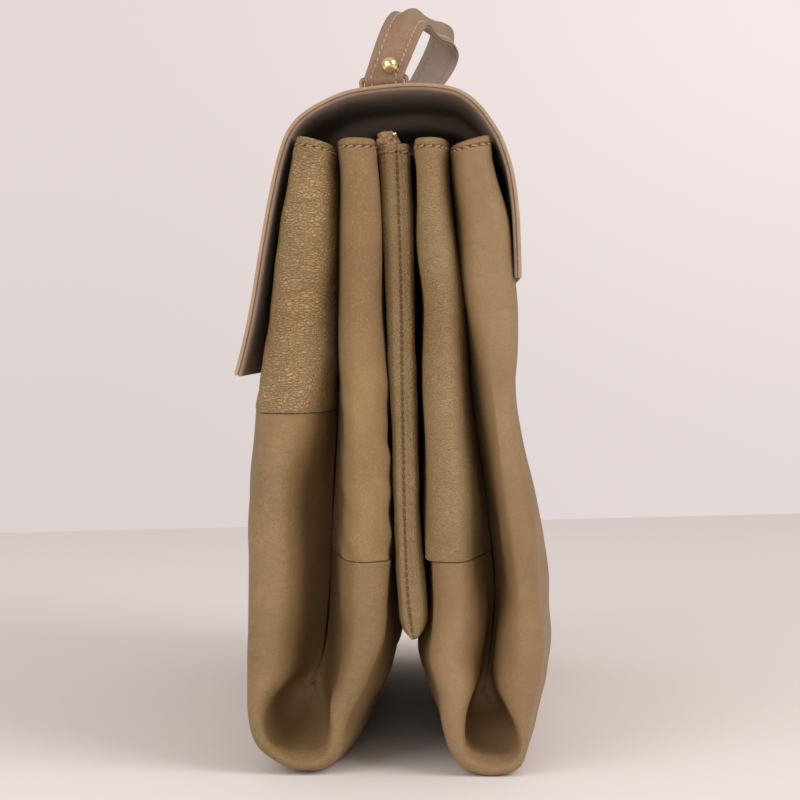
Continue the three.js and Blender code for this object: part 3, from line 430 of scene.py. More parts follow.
def stitch_row(name, line, slant=0.0, sunk=0.0, thickness=0.9 * MM, pitch=STITCH_PITCH):
    """Stitches along a line given by its points, outward directions and lengths, a pitch apart from
    length 0 both ways. Each is a thread whose middle line arches off the leather and dips into it
    at both ends, with a round section that closes to a point at each end."""
    curve, out, walk = line
    first, last = np.ceil(walk[0] / pitch + 0.5), np.floor(walk[-1] / pitch - 0.5)
    at = np.arange(first, last + 1) * pitch
    count = len(at)

    def on(values, places):
        return np.stack([np.interp(places, walk, values[:, k]) for k in range(3)], -1)

    middle = on(curve, at)
    way = unit(on(curve, at + pitch / 4) - on(curve, at - pitch / 4))
    up = unit(on(out, at))
    side = unit(np.cross(up, way))
    way = unit(way * np.cos(slant) + side * np.sin(slant))
    side = unit(np.cross(up, way))
    t = np.linspace(-1, 1, 7)
    arch = thickness * (0.62 * (1 - t**4) - 0.25) - sunk
    radius = thickness / 2 * np.sqrt(np.clip(1 - t**4, 0.002, 1))
    ring = np.arange(6) * np.pi / 3
    half = 0.43 * pitch
    line = middle[:, None] + way[:, None] * (t * half)[:, None] + up[:, None] * arch[:, None]
    spoke = side[:, None, None] * np.cos(ring)[:, None] + up[:, None, None] * np.sin(ring)[:, None]
    points = line[:, :, None] + spoke * radius[:, None, None]
    index = np.arange(count * 7 * 6).reshape(count, 7, 6)
    caps = np.concatenate([index[:, 0, [0, 1, 2, 3]], index[:, 0, [0, 3, 4, 5]],
                           index[:, -1, [3, 2, 1, 0]], index[:, -1, [5, 4, 3, 0]]])
    return link(name, mesh_of(name, points.reshape(-1, 3), np.concatenate([around(index), caps])))


def group(name, inputs, outputs):
    """A node group with the named inputs, each with its default value, and the named outputs."""
    tree = bpy.data.node_groups.new(name, "ShaderNodeTree")
    for label, (kind, value) in inputs.items():
        socket = tree.interface.new_socket(label, in_out="INPUT", socket_type="NodeSocket" + kind)
        socket.default_value = value
    for label, kind in outputs.items():
        tree.interface.new_socket(label, in_out="OUTPUT", socket_type="NodeSocket" + kind)
    return tree, tree.nodes.new("NodeGroupInput").outputs, tree.nodes.new("NodeGroupOutput").inputs


def calc(tree, operation, first, second=0.5, third=0.5):
    """A Math node's result."""
    return put(tree, "Math", {"operation": operation}, _0=first, _1=second, _2=third).outputs[0]


def blend(tree, share, first, second, way="MIX"):
    """Two colours mixed by a share."""
    node = tree.nodes.new("ShaderNodeMix")
    node.data_type = "RGBA"
    node.blend_type = way
    for key, value in ((0, share), (6, first), (7, second)):
        if isinstance(value, bpy.types.NodeSocket):
            tree.links.new(value, node.inputs[key])
        else:
            node.inputs[key].default_value = value
    return node.outputs[2]


def spread(tree, value, low, high, new_low=0.0, new_high=1.0):
    """A value moved from one range to another, and kept inside it."""
    return put(tree, "MapRange", Value=value, From_Min=low, From_Max=high,
               To_Min=new_low, To_Max=new_high).outputs[0]


# Grain of a soft hide: rounded pebbles with creases between them, fine pores, and fine wrinkles that
# run across the height of the bag. Height is in millimetres; Crease is 1 in the cracks, where the hide
# is painted darker, partly its own dark grain lines and partly painted shade. The speck output marks
# paler specks that are painted highlights, and the wear output soft patches of two tones.
hide_grain, given, result = group(
    "hide_grain",
    {"Pebble": ("Float", 1100.0), "Depth": ("Float", 0.16), "Wrinkle": ("Float", 0.2),
     "Stretch": ("Float", 3.0)},
    {"Height": "Float", "Crease": "Float", "Wear": "Float", "Glint": "Float"},
)
place = put(hide_grain, "TexCoord").outputs["Object"]
stray = put(hide_grain, "TexNoise", Vector=place, Scale=170.0, Detail=2.0).outputs["Color"]
STRAY = 0.004
pushed = put(hide_grain, "VectorMath", {"operation": "MULTIPLY_ADD"},
             _0=stray, _1=(STRAY,) * 3, _2=place).outputs[0]
tall = put(hide_grain, "CombineXYZ", _0=1.0, _1=1.0, _2=given["Stretch"])
squeezed = put(hide_grain, "VectorMath", {"operation": "MULTIPLY"}, _0=pushed, _1=tall.outputs[0]).outputs[0]
crack = put(hide_grain, "TexVoronoi", {"feature": "DISTANCE_TO_EDGE"},
            Vector=squeezed, Scale=given["Pebble"], Randomness=1.0)
mound = spread(hide_grain, crack.outputs["Distance"], 0.0, 0.3)
dome = calc(hide_grain, "POWER", mound, 0.6)
seam = spread(hide_grain, crack.outputs["Distance"], 0.0, 0.13, 1.0, 0.0)
lines = put(hide_grain, "TexNoise", Vector=squeezed, Scale=260.0, Detail=3.0,
            Roughness=0.55, Distortion=0.35).outputs[0]
line_ridge = calc(hide_grain, "ABSOLUTE", calc(hide_grain, "SUBTRACT", lines, 0.5))
wrinkle = spread(hide_grain, line_ridge, 0.0, 0.07)
fine_line = spread(hide_grain, line_ridge, 0.0, 0.03, 1.0, 0.0)
pore = put(hide_grain, "TexNoise", Vector=place, Scale=3200.0, Detail=2.0).outputs[0]
height = calc(hide_grain, "MULTIPLY", dome, given["Depth"])
height = calc(hide_grain, "MULTIPLY_ADD", wrinkle, given["Wrinkle"], height)
height = calc(hide_grain, "MULTIPLY_ADD", pore, 0.05, height)
hide_grain.links.new(height, result["Height"])
gap = calc(hide_grain, "MULTIPLY", seam, calc(hide_grain, "MULTIPLY", given["Depth"], 1.3))
gap = calc(hide_grain, "MULTIPLY_ADD", fine_line, calc(hide_grain, "MULTIPLY", given["Wrinkle"], 1.4), gap)
hide_grain.links.new(put(hide_grain, "Clamp", Value=gap).outputs[0], result["Crease"])
patch = put(hide_grain, "TexNoise", Vector=place, Scale=22.0, Detail=3.0, Roughness=0.55).outputs[0]
hide_grain.links.new(spread(hide_grain, patch, 0.35, 0.65), result["Wear"])
# Specks that are painted highlights on the grain.
speck = put(hide_grain, "TexNoise", Vector=place, Scale=1050.0, Detail=2.0, Roughness=0.7).outputs[0]
hide_grain.links.new(spread(hide_grain, speck, 0.5, 0.72), result["Glint"])

# Needle holes of a stitch line: dips at every pitch along a line at a set distance from the edge,
# painted dark as shade, with a fainter painted shade along the groove of the line.
needle_holes, given, result = group(
    "needle_holes",
    {"Pitch": ("Float", STITCH_PITCH), "Line": ("Float", HEM_STITCH), "Size": ("Float", 0.75 * MM)},
    {"Mask": "Float"},
)
here = put(needle_holes, "UVMap", {"uv_map": "lengths"}).outputs[0]
split = put(needle_holes, "SeparateXYZ", _0=here)
turns = calc(needle_holes, "FRACT", calc(needle_holes, "DIVIDE", split.outputs[0], given["Pitch"]))
off = calc(needle_holes, "ABSOLUTE", calc(needle_holes, "SUBTRACT", turns, 0.5))
off = calc(needle_holes, "MULTIPLY", off, given["Pitch"])
aside = calc(needle_holes, "SUBTRACT", split.outputs[1], given["Line"])
squares = [calc(needle_holes, "MULTIPLY", leg, leg) for leg in (off, aside)]
away = calc(needle_holes, "SQRT", calc(needle_holes, "ADD", *squares))
hole = spread(needle_holes, calc(needle_holes, "DIVIDE", away, given["Size"]), 0.35, 1.0, 1.0, 0.0)
# Fainter painted shade along the stitch line's groove.
track = spread(needle_holes, calc(needle_holes, "ABSOLUTE", aside), 0.2 * MM, 0.9 * MM, 0.3, 0.0)
needle_holes.links.new(calc(needle_holes, "MAXIMUM", hole, track), result["Mask"])


# How much paler than the light tone the painted highlight specks are.
PALER = 1.55
HOLE_DEPTH = 0.6 * MM


def leather(name, light, dark, crease, pebble=1100.0, depth=0.16, wrinkles=0.2, stretch=3.0,
            roughness=0.55, holes=False, glints=0.3):
    """A leather: two tones of hide in soft patches, darker in its creases (partly the hide's own dark
    grain lines, partly painted shade) and with paler specks that are painted highlights, with the
    hide's grain as relief and, on a hemmed panel, needle holes along the stitch line, sunk and
    painted dark as shade."""
    light, dark, crease = (linear(*tone) for tone in (light, dark, crease))
    made = bpy.data.materials.new(name)
    made.use_nodes = True
    tree = made.node_tree
    shader = tree.nodes["Principled BSDF"]
    grain = tree.nodes.new("ShaderNodeGroup")
    grain.node_tree = hide_grain
    for label, value in (("Pebble", pebble), ("Depth", depth), ("Wrinkle", wrinkles), ("Stretch", stretch)):
        grain.inputs[label].default_value = value
    tone = blend(tree, grain.outputs["Wear"], dark, light)
    # Painted shade: the cracks of the grain take the darker crease tone, over the hide's own darker grain
    # lines.
    tone = blend(tree, grain.outputs["Crease"], tone, crease)
    # Painted highlights: paler specks, lighter than the light tone, that stand for glints on the grain.
    pale = calc(tree, "MULTIPLY", grain.outputs["Glint"], glints)
    tone = blend(tree, pale, tone, tuple(min(PALER * part, 1.0) for part in light[:3]) + (1.0,))
    rise = calc(tree, "MULTIPLY", grain.outputs["Height"], MM)
    if holes:
        row = tree.nodes.new("ShaderNodeGroup")
        row.node_tree = needle_holes
        # Painted shade in the needle holes and along the stitch line; the same mask also sinks them.
        tone = blend(tree, row.outputs["Mask"], tone, linear(92, 66, 44))
        rise = calc(tree, "MULTIPLY_ADD", row.outputs["Mask"], -HOLE_DEPTH, rise)
    tree.links.new(tone, shader.inputs["Base Color"])
    gloss = spread(tree, grain.outputs["Crease"], 0.0, 1.0, roughness, min(roughness + 0.22, 1.0))
    tree.links.new(gloss, shader.inputs["Roughness"])
    bump = put(tree, "Bump", Strength=1.0, Distance=1.0, Height=rise)
    tree.links.new(bump.outputs[0], shader.inputs["Normal"])
    shader.inputs["Specular IOR Level"].default_value = 0.4
    return made


def waxed_thread(name, light, dark, crease, roughness=0.6):
    """A thread: two tones as on leather, with a very fine twist in place of the grain."""
    return leather(name, light, dark, crease, pebble=2600.0, depth=0.05, wrinkles=0.0, roughness=roughness)


def dress(piece, material, slot, *nodes):
    """Gives a piece its material and its body, and hides the solids it stands for. The slot is not
    used."""
    piece.data.materials.append(material)
    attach(piece, "root")
    if nodes:
        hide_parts(*nodes)


_, front_walk, front_height = walked_ridge(FRONT_POUCH)
half = len(front_height) // 2
front_seam = front_walk[:half][front_height[:half] > FRONT_SEAM_HEIGHT][-1]
front_inner_seam = front_walk[half:][front_height[half:] > INNER_SEAM_HEIGHT][0]
SEAM_GAP = 0.08 * MM
HEM_SLANT = 0.3

pebbled = leather("pebbled_leather", (172, 144, 101), (157, 128, 85), (113, 85, 51),
                  pebble=440.0, depth=0.55, wrinkles=0.17, stretch=2.4, roughness=0.53,
                  holes=True, glints=0.12)
thread = waxed_thread("thread", (178, 147, 110), (158, 126, 90), (100, 74, 50))


def pebbled_relief(points):
    """Slow dents, and creases that run across the panel and fade towards its middle."""
    dents = 1.0 * ripple(points, (0.09, 0.05, 0.06), 11) + 0.3 * ripple(points, (0.03, 0.02, 0.022), 12)
    creases = 1 - np.abs(ripple(points, (0.02, 0.02, 0.0042), 13)) * 2.2
    ends = smooth(0.06, 0.15, np.abs(points[..., 0]))
    where = smooth(-0.4, 0.6, ripple(points, 0.045, 14))
    return MM * (dents + 0.16 * np.clip(creases, 0, 1) * (0.25 + 0.75 * ends) * where)


front_leather, hem_line = pouch_piece(
    "front_pouch_front_leather", FRONT_POUCH, 0, front_seam - SEAM_GAP, 1.1 * MM, True, False, pebbled_relief)
dress(front_leather, pebbled, "pebbled_leather", "front_pouch_front_panel")
dress(stitch_row("front_pouch_front_hem_stitches", hem_line, HEM_SLANT), thread, "pebbled_leather")


# Base of the front pouch: smooth leather, one piece from the seam on the front, round the soft rolled
# rim at each end and under the pouch, to the seam of the suede on the inner side.
smooth_hide = leather("smooth_leather", (144, 117, 79), (127, 102, 66), (94, 70, 42),
                      pebble=1000.0, depth=0.07, wrinkles=0.13, stretch=1.4, roughness=0.48, glints=0.1)


def smooth_relief(points):
    """Slow dents and long shallow folds that run up the bag."""
    dents = 1.3 * ripple(points, (0.11, 0.05, 0.07), 21) + 0.35 * ripple(points, (0.035, 0.03, 0.04), 22)
    folds = ripple(points, (0.05, 0.016, 0.12), 23)
    return MM * (dents + 0.3 * folds) * smooth(0.0, 0.012, points[..., 2])


front_base, _ = pouch_piece(
    "front_pouch_base_leather", FRONT_POUCH, front_seam + SEAM_GAP, front_inner_seam - SEAM_GAP, 2.0 * MM,
    False, False, smooth_relief)
dress(front_base, smooth_hide, "smooth_leather", "front_pouch_base")


# Inner panel of the front pouch: the same hide with its suede side out, matt and a little pinker,
# with a hem like the front's.
suede = leather("suede", (151, 123, 85), (131, 103, 70), (106, 81, 53),
                pebble=1500.0, depth=0.1, wrinkles=0.06, stretch=0.7, roughness=0.92, holes=True, glints=0.4)


def suede_relief(points):
    """Slow dents, a few soft folds that run up the panel, and slanting ones near its lower end."""
    dents = 0.9 * ripple(points, (0.1, 0.04, 0.06), 31)
    folds = ripple(points, (0.045, 0.014, 0.1), 32)
    slanted = points + 0.7 * points[..., 2:] * np.array([0, 1, 0])
    low = smooth(0.2, 0.12, points[..., 2])
    return MM * (dents + 0.35 * folds + 0.7 * low * ripple(slanted, (0.05, 0.011, 0.06), 33))


suede_panel, hem_line = pouch_piece(
    "front_pouch_inner_suede", FRONT_POUCH, front_inner_seam + SEAM_GAP, front_walk[-1], 1.6 * MM,
    False, True, suede_relief)
dress(suede_panel, suede, "suede_leather", "front_pouch_inner_panel")
dress(stitch_row("front_pouch_inner_hem_stitches", hem_line, HEM_SLANT), thread, "pebbled_leather")


# Back pouch: a fine grained inner panel above its seam, and one large piece of smooth leather for the
# back, the base and the rolled rims.
BACK_POUCH = [
    (0.061, 1.0, -0.018, 0, 0.163, 1.0, 0.56, 0.85, 0),
    (0.063, 0.904, -0.014, 0, 0.178, 0.904, 0.63, 0.9, 0),
    (0.082, 0.748, -0.023, 0, 0.212, 0.748, 0.72, 0.95, 0),
    (0.089, 0.593, -0.022, 0, 0.236, 0.593, 0.82, 1, 0),
    (0.092, 0.437, -0.017, 0, 0.279, 0.437, 1, 1, 0),
    (0.098, 0.359, -0.017, 0, 0.297, 0.359, 1, 1, 0),
    (0.101, 0.281, -0.002, 0, 0.312, 0.281, 1, 1, 0),
    (0.096, 0.233, 0.008, 0, 0.307, 0.233, 1, 1, 0),
    (0.094, 0.178, -0.03, 0, 0.299, 0.18, 0.85, 1, 0.2),
    (0.132, 0.126, -0.059, 0, 0.2875, 0.142, 0.6, 0.97, 0.6),
    (0.148, 0.081, -0.039, 0, 0.2785, 0.118, 0.42, 0.95, 1),
    (0.174, 0.037, -0.013, -0.02, 0.277, 0.107, 0.33, 0.9, 1),
    (0.212, 0.012, -0.004, -0.026, 0.277, 0.1045, 0.29, 0.9, 0.7),
    (0.292, 0.001, 0, -0.012, 0.277, 0.103, 0.26, 0.9, 0.5),
    (0.38, 0.011, -0.004, -0.026, 0.277, 0.1045, 0.26, 0.9, 0.6),
    (0.414, 0.041, 0.017, -0.022, 0.277, 0.107, 0.31, 0.92, 0.9),
    (0.425, 0.089, 0.035, 0, 0.2785, 0.118, 0.45, 0.95, 1),
    (0.451, 0.141, 0.035, 0, 0.2885, 0.144, 0.7, 1, 0.6),
    (0.47, 0.204, 0.03, 0, 0.304, 0.204, 0.82, 1, 0.2),
    (0.458, 0.296, 0.036, 0, 0.311, 0.296, 0.8, 1, 0),
    (0.414, 0.437, 0.028, 0, 0.279, 0.437, 0.75, 1, 0),
    (0.369, 0.593, 0.015, 0, 0.236, 0.593, 0.74, 1, 0),
    (0.365, 0.748, 0.001, 0, 0.212, 0.748, 0.85, 0.95, 0),
    (0.343, 0.852, 0.012, 0, 0.189, 0.852, 0.85, 0.9, 0),
    (0.303, 0.944, 0.015, 0, 0.171, 0.944, 0.75, 0.88, 0),
    (0.291, 1.005, 0.005, 0, 0.163, 0.988, 0.7, 0.85, 0),
]
_, back_walk, back_height = walked_ridge(BACK_POUCH)
half = len(back_height) // 2
back_inner_seam = back_walk[:half][back_height[:half] > INNER_SEAM_HEIGHT][-1]
fine_grain = leather("fine_grain_leather", (148, 124, 85), (135, 108, 71), (100, 75, 45),
                     pebble=700.0, depth=0.22, wrinkles=0.12, stretch=1.4, roughness=0.48,
                     holes=True, glints=0.2)


def fine_relief(points):
    """Slow dents and faint folds that run up the panel."""
    dents = 0.9 * ripple(points, (0.1, 0.05, 0.06), 41) + 0.25 * ripple(points, (0.03, 0.02, 0.03), 42)
    return MM * dents


back_inner, hem_line = pouch_piece(
    "back_pouch_inner_leather", BACK_POUCH, 0, back_inner_seam - SEAM_GAP, 1.6 * MM, True, False, fine_relief)
dress(back_inner, fine_grain, "pebbled_leather", "back_pouch_inner_panel")
dress(stitch_row("back_pouch_inner_hem_stitches", hem_line, HEM_SLANT), thread, "pebbled_leather")

back_hide = leather("back_leather", (145, 118, 83), (131, 102, 67), (94, 70, 45),
                    pebble=1000.0, depth=0.06, wrinkles=0.1, stretch=1.2, roughness=0.48,
                    holes=True, glints=0.1)
back_body, hem_line = pouch_piece(
    "back_pouch_back_leather", BACK_POUCH, back_inner_seam + SEAM_GAP, back_walk[-1], 2.1 * MM,
    False, True, smooth_relief)
dress(back_body, back_hide, "smooth_leather", "back_pouch_body")
dress(stitch_row("back_pouch_back_hem_stitches", hem_line, -HEM_SLANT), thread, "smooth_leather")


# Zip pouch between the two others: two soft dished panels, sewn edge to edge up both ends and round
# the tip, with a hem along the top of each.
ZIP_POUCH = [
    (0.993, -0.058, 0.04, 0.003),
    (0.904, -0.046, 0.047, 0.009),
    (0.748, -0.031, 0.055, 0.018),
    (0.593, -0.021, 0.063, 0.021),
    (0.437, -0.01, 0.071, 0.026),
    (0.359, -0.003, 0.078, 0.03),
    (0.281, 0.006, 0.094, 0.037),
    (0.213, 0.014, 0.097, 0.055),
]
ZIP_POUCH_LENGTH = 314 * MM
ZIP_POUCH_WALL = 1.4 * MM
ZIP_EDGE_RADIUS = 6 * MM
ZIP_TIP_RADIUS = 10 * MM


def zip_face(side):
    """Outer face of one zip panel. Its depth off the seam grows along a quarter ellipse from each
    end and from the tip, and follows the table between."""
    fine = np.linspace(0, len(ZIP_POUCH) - 1, 2001)
    heights = through(ZIP_POUCH, fine)[:, 0] * POUCH_HEIGHT
    top, bottom = heights[0], heights[-1]
    turn = np.linspace(0, np.pi / 2, 10)
    end_x = ZIP_POUCH_LENGTH / 2
    half_x = np.concatenate([end_x - ZIP_EDGE_RADIUS * (1 - np.cos(turn)),
                             np.linspace(end_x - ZIP_EDGE_RADIUS, 0, 44)[1:]])
    half_open = np.concatenate([np.sin(turn), np.ones(43)])
    x = np.concatenate([half_x, -half_x[-2::-1]])
    opening = np.concatenate([half_open, half_open[-2::-1]])
    near_top = top - np.concatenate([1.2 * MM * (1 - np.cos(turn[::2])), np.arange(1.5, 9, 0.5) * MM])
    middle = np.linspace(near_top[-1], bottom + ZIP_TIP_RADIUS, 104)[1:]
    tip = bottom + ZIP_TIP_RADIUS * (1 - np.sin(turn[1:]))
    z = np.concatenate([near_top, middle, tip])
    tip_open = np.concatenate([np.ones(len(near_top) + len(middle)), np.cos(turn[1:])])
    values = through(ZIP_POUCH, np.interp(-z, -heights, fine))
    face = values[:, 1] if side == "front" else values[:, 2]
    seam = values[:, 3] * BAG_DEPTH
    open_all = opening[None, :] * tip_open[:, None]
    y = seam[:, None] + (face * BAG_DEPTH - seam)[:, None] * open_all
    return joined(x, y, z[:, None]), top - z


for side, sign in (("front", -1), ("back", 1)):
    base, hem = zip_face(side)
    out = facing(base) * (1 if side == "front" else -1)
    hem = hem[:, None]
    swell = ripple(base, (0.08, 0.04, 0.045), 51) * 0.5 + ripple(base, (0.04, 0.02, 0.016), 52) * 0.22
    ends = smooth(0, 12 * MM, ZIP_POUCH_LENGTH / 2 - np.abs(base[..., 0]))
    lift = MM * swell * (0.35 + 0.65 * ends) * smooth(3 * MM, 14 * MM, hem)
    lift = lift + MM * (0.2 * bell(hem, 1.7 * MM, 1.5 * MM) - 0.4 * bell(hem, HEM_STITCH, 0.55 * MM)
                        + 0.3 * bell(hem, 6 * MM, 2.2 * MM))
    walk = walk_along(base[0])
    off_seam = np.minimum(walk, walk[-1] - walk)[None, :]
    lift = lift + MM * (0.5 * bell(off_seam, 4.2 * MM, 1.3 * MM) - 0.5 * bell(off_seam, 2.2 * MM, 0.8 * MM)
                        - 0.9 * bell(off_seam, 0, 0.7 * MM))
    inset = edge_inset(hem, ZIP_POUCH_WALL)
    outer = base + out * (lift - inset)[..., None]
    inner = base + out * (lift - ZIP_POUCH_WALL + inset)[..., None]
    seam_y = base[:, :1, 1]
    inner[..., 1] = sign * np.maximum(sign * (inner[..., 1] - seam_y), 0.02 * MM) + seam_y
    walk -= walk[len(walk) // 2]
    lengths = joined(walk[None, :], hem)
    panel = shell(f"zip_pouch_{side}_leather", outer, inner, lengths)
    dress(panel, fine_grain, "pebbled_leather", f"zip_pouch_{side}_panel")
    row = np.abs(hem[:, 0] - HEM_STITCH).argmin()
    dress(stitch_row(f"zip_pouch_{side}_hem_stitches", (outer[row], out[row], walk), HEM_SLANT),
          thread, "pebbled_leather")

seam_thread = waxed_thread("seam_thread", (120, 92, 64), (96, 72, 48), (60, 44, 30), 0.8)
SEAM_SUNK = 0.75 * MM
seam_down = slice(8, None)
for end, label in ((0, "a"), (-1, "b")):
    curve = base[seam_down, end]
    outward = np.broadcast_to([1.0 if end == 0 else -1.0, 0, 0], curve.shape)
    walk = walk_along(curve)
    dress(stitch_row(f"zip_pouch_seam_{label}_stitches", (curve, outward, walk), 0.25,
                     sunk=SEAM_SUNK, thickness=1.0 * MM, pitch=3 * MM),
          seam_thread, "pebbled_leather")


# Zip of the middle pouch: woven tape between the hems, two rows of brass teeth and a slider with its
# pull. At each end the tape is folded up into a crumpled knot with a small metal stop beside it.
tape_cloth = leather("zip_tape_cloth", (150, 120, 88), (110, 84, 60), (60, 44, 32),
                     pebble=2400.0, depth=0.12, wrinkles=0.0, roughness=0.9)


def metal(name, scale, detail, dark, light, polished, worn):
    """A metal of two tones in soft patches, each with its own roughness."""
    made = bpy.data.materials.new(name)
    made.use_nodes = True
    tree = made.node_tree
    shader = tree.nodes["Principled BSDF"]
    shader.inputs["Metallic"].default_value = 1.0
    place = put(tree, "TexCoord").outputs["Object"]
    patch = put(tree, "TexNoise", Vector=place, Scale=scale, Detail=detail).outputs[0]
    tree.links.new(blend(tree, patch, linear(*dark), linear(*light)), shader.inputs["Base Color"])
    tree.links.new(spread(tree, patch, 0.3, 0.7, polished, worn), shader.inputs["Roughness"])
    return made


gold = metal("gold_metal", 420.0, 3.0, (228, 198, 128), (248, 230, 182), 0.14, 0.3)
for node_name in ("zip_teeth", "zip_slider", "flap_snap"):
    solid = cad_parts[node_name]
    solid.data.materials.clear()
    solid.data.materials.append(gold)

# The tape's cross section sags to its middle with the fourth power of the distance from it.
TAPE_HALF_LENGTH = 156
TAPE_MIDDLE_Y = -0.9 * MM
TAPE_HALF_WIDTH = 4.7 * MM
TAPE_HEIGHT = 262.3
TAPE_SAG = 3.6
TAPE_THICKNESS = 0.8 * MM
tape_x = np.linspace(-TAPE_HALF_LENGTH, TAPE_HALF_LENGTH, 105)[None, :] * MM
tape_turn = np.linspace(-1, 1, 21)[:, None]
tape_z = (TAPE_HEIGHT + TAPE_SAG * tape_turn**4) * MM
tape_face = joined(tape_x, TAPE_MIDDLE_Y + TAPE_HALF_WIDTH * tape_turn, tape_z)
tape_under = tape_face - np.array([0, 0, TAPE_THICKNESS])
tape = shell("zip_tape_weave", tape_face, tape_under, tape_face[..., :2])
dress(tape, tape_cloth, "zip_tape", "zip_tape")


LUMP_RINGS, LUMP_SIDES = 44, 64
LUMP_POLE = 1.555


def lump(name, middle, radii, crumple, seed):
    """A crumpled ball: an ellipsoid whose points move along its radii by two sizes of ripple. Its
    first and last ring lie near the poles, and strips across them close it."""
    rise = np.linspace(-LUMP_POLE, LUMP_POLE, LUMP_RINGS)[:, None]
    turn = np.linspace(0, 2 * np.pi, LUMP_SIDES, endpoint=False)[None, :]
    way = joined(np.cos(rise) * np.cos(turn), np.cos(rise) * np.sin(turn), np.sin(rise))
    points = np.array(middle) + way * np.array(radii)
    push = np.tanh(1.6 * ripple(points, 3.2 * MM, seed)) + 0.5 * ripple(points, 1.3 * MM, seed + 1)
    points = points + way * (crumple * push * np.cos(rise) ** 0.3)[..., None]
    index = np.arange(LUMP_RINGS * LUMP_SIDES).reshape(LUMP_RINGS, LUMP_SIDES)
    strips = LUMP_SIDES // 2 - 1
    odd = np.arange(strips)[:, None] * 2 + np.array([1, 2, 3])
    low = np.concatenate([np.zeros((strips, 1), int), odd], 1)
    faces = np.concatenate([around(index), index[0][low[:, ::-1]], index[-1][low]])
    return link(name, mesh_of(name, points.reshape(-1, 3), faces))


# The knot is painted much paler than the tape it is folded from: painted light that makes up for the shade it
# sits in, with many paler specks as painted highlights.
knot_hide_painted_light = leather("zip_end_folds_leather", (196, 162, 124), (160, 128, 94), (84, 62, 42),
                    pebble=700.0, depth=0.3, wrinkles=0.2, stretch=1.0, roughness=0.8, glints=0.5)
KNOT_PLACE, KNOT_RADII = (0.1505, -0.0037, 0.268), (0.006, 0.0047, 0.0054)
STOP_PLACE, STOP_RADII = (0.1555, -0.0006, 0.2722), (0.001, 0.001, 0.0009)
for way_x, end_label in ((1, "a"), (-1, "b")):
    for label, place, radii, crumple, seed, material, slot in (
        ("folds", KNOT_PLACE, KNOT_RADII, 0.95 * MM, 70, knot_hide_painted_light, "zip_tape"),
        ("stop", STOP_PLACE, STOP_RADII, 0.05 * MM, 72, gold, "gold_metal"),
    ):
        middle = (way_x * place[0], *place[1:])
        dress(lump(f"zip_end_{label}_{end_label}", middle, radii, crumple, seed), material, slot)


# Flap: smooth leather outside and suede inside, two layers with raw edges, bent over the pouches from
# the back to the front. It is fixed to the back and held in front by a hidden snap.
FLAP = [
    (0.367, 0.781, 0), (0.364, 0.83, 0), (0.358, 0.889, 0), (0.342, 0.946, 0), (0.314, 0.99, 0),
    (0.287, 1, 0.205), (0.245, 1, 0.59), (0.193, 1, 0.865), (0.124, 1, 0.98), (0.036, 1, 1),
    (-0.058, 1, 0.95), (-0.147, 1, 0.845), (-0.219, 1, 0.64), (-0.277, 1, 0.39), (-0.315, 1, 0.085),
    (-0.34, 0.973, 0), (-0.365, 0.92, 0), (-0.396, 0.835, 0), (-0.426, 0.743, 0), (-0.45, 0.683, 0),
    (-0.478, 0.627, 0),
]
FLAP_LENGTH = 322 * MM
CROWN_RISE = 20 * MM
FLAP_LEATHER = 1.5 * MM
FLAP_LINING = 1.3 * MM
LAYER_GAP = 0.12 * MM
FLAP_STITCH = 3.6 * MM


def edge_steps(total, count):
    """Distances across a sheet from edge to edge, close together where both edges round over."""
    rounding = 0.8 * MM * (1 - np.cos(np.linspace(0, np.pi / 2, 5)))
    near_edge = np.concatenate([rounding, np.arange(1.2, 6.4, 0.7) * MM])
    inner = np.linspace(near_edge[-1], total - near_edge[-1], count)[1:-1]
    return np.concatenate([near_edge, inner, total - near_edge[::-1]])


fine = through(FLAP, np.linspace(0, len(FLAP) - 1, 3001))
flap_line = np.stack([fine[:, 0] * BAG_DEPTH, fine[:, 1] * POUCH_HEIGHT + fine[:, 2] * CROWN_RISE], 1)
flap_walk = walk_along(flap_line)
flap_down = edge_steps(flap_walk[-1], 115)
flap_across = edge_steps(FLAP_LENGTH, 84)
flap_yz = np.stack([np.interp(flap_down, flap_walk, flap_line[:, k]) for k in (0, 1)], 1)
way = unit(np.gradient(flap_yz, axis=0))
flap_out = np.stack([0 * way[:, 0], way[:, 1], -way[:, 0]], 1)
flap_x = FLAP_LENGTH / 2 - flap_across
flap_base = joined(flap_x[None, :], flap_yz[:, :1], flap_yz[:, 1:])
flap_normals = np.broadcast_to(flap_out[:, None], flap_base.shape)
flap_edge = np.minimum(np.minimum(flap_down, flap_walk[-1] - flap_down)[:, None],
                       np.minimum(flap_across, FLAP_LENGTH - flap_across)[None, :])
flap_lengths = joined(flap_x[None, :], flap_down[:, None])
flap_wave = MM * 0.5 * ripple(flap_base, (0.09, 0.08, 0.08), 61) * smooth(0, 0.03, flap_edge)


def flap_layer(name, foot, thickness, stitched=False):
    """One layer of the flap: the flap's inside line moved out by foot, as thick as given, with round
    edges, slow waves and, on the stitched one, a groove near the edge."""
    inset = edge_inset(flap_edge, thickness)
    groove = 0.3 * MM * bell(flap_edge, FLAP_STITCH, 0.7 * MM) if stitched else 0
    outer = flap_base + flap_normals * (flap_wave + foot + thickness - inset - groove)[..., None]
    inner = flap_base + flap_normals * (flap_wave + foot + inset)[..., None]
    return shell(name, outer, inner, flap_lengths), outer


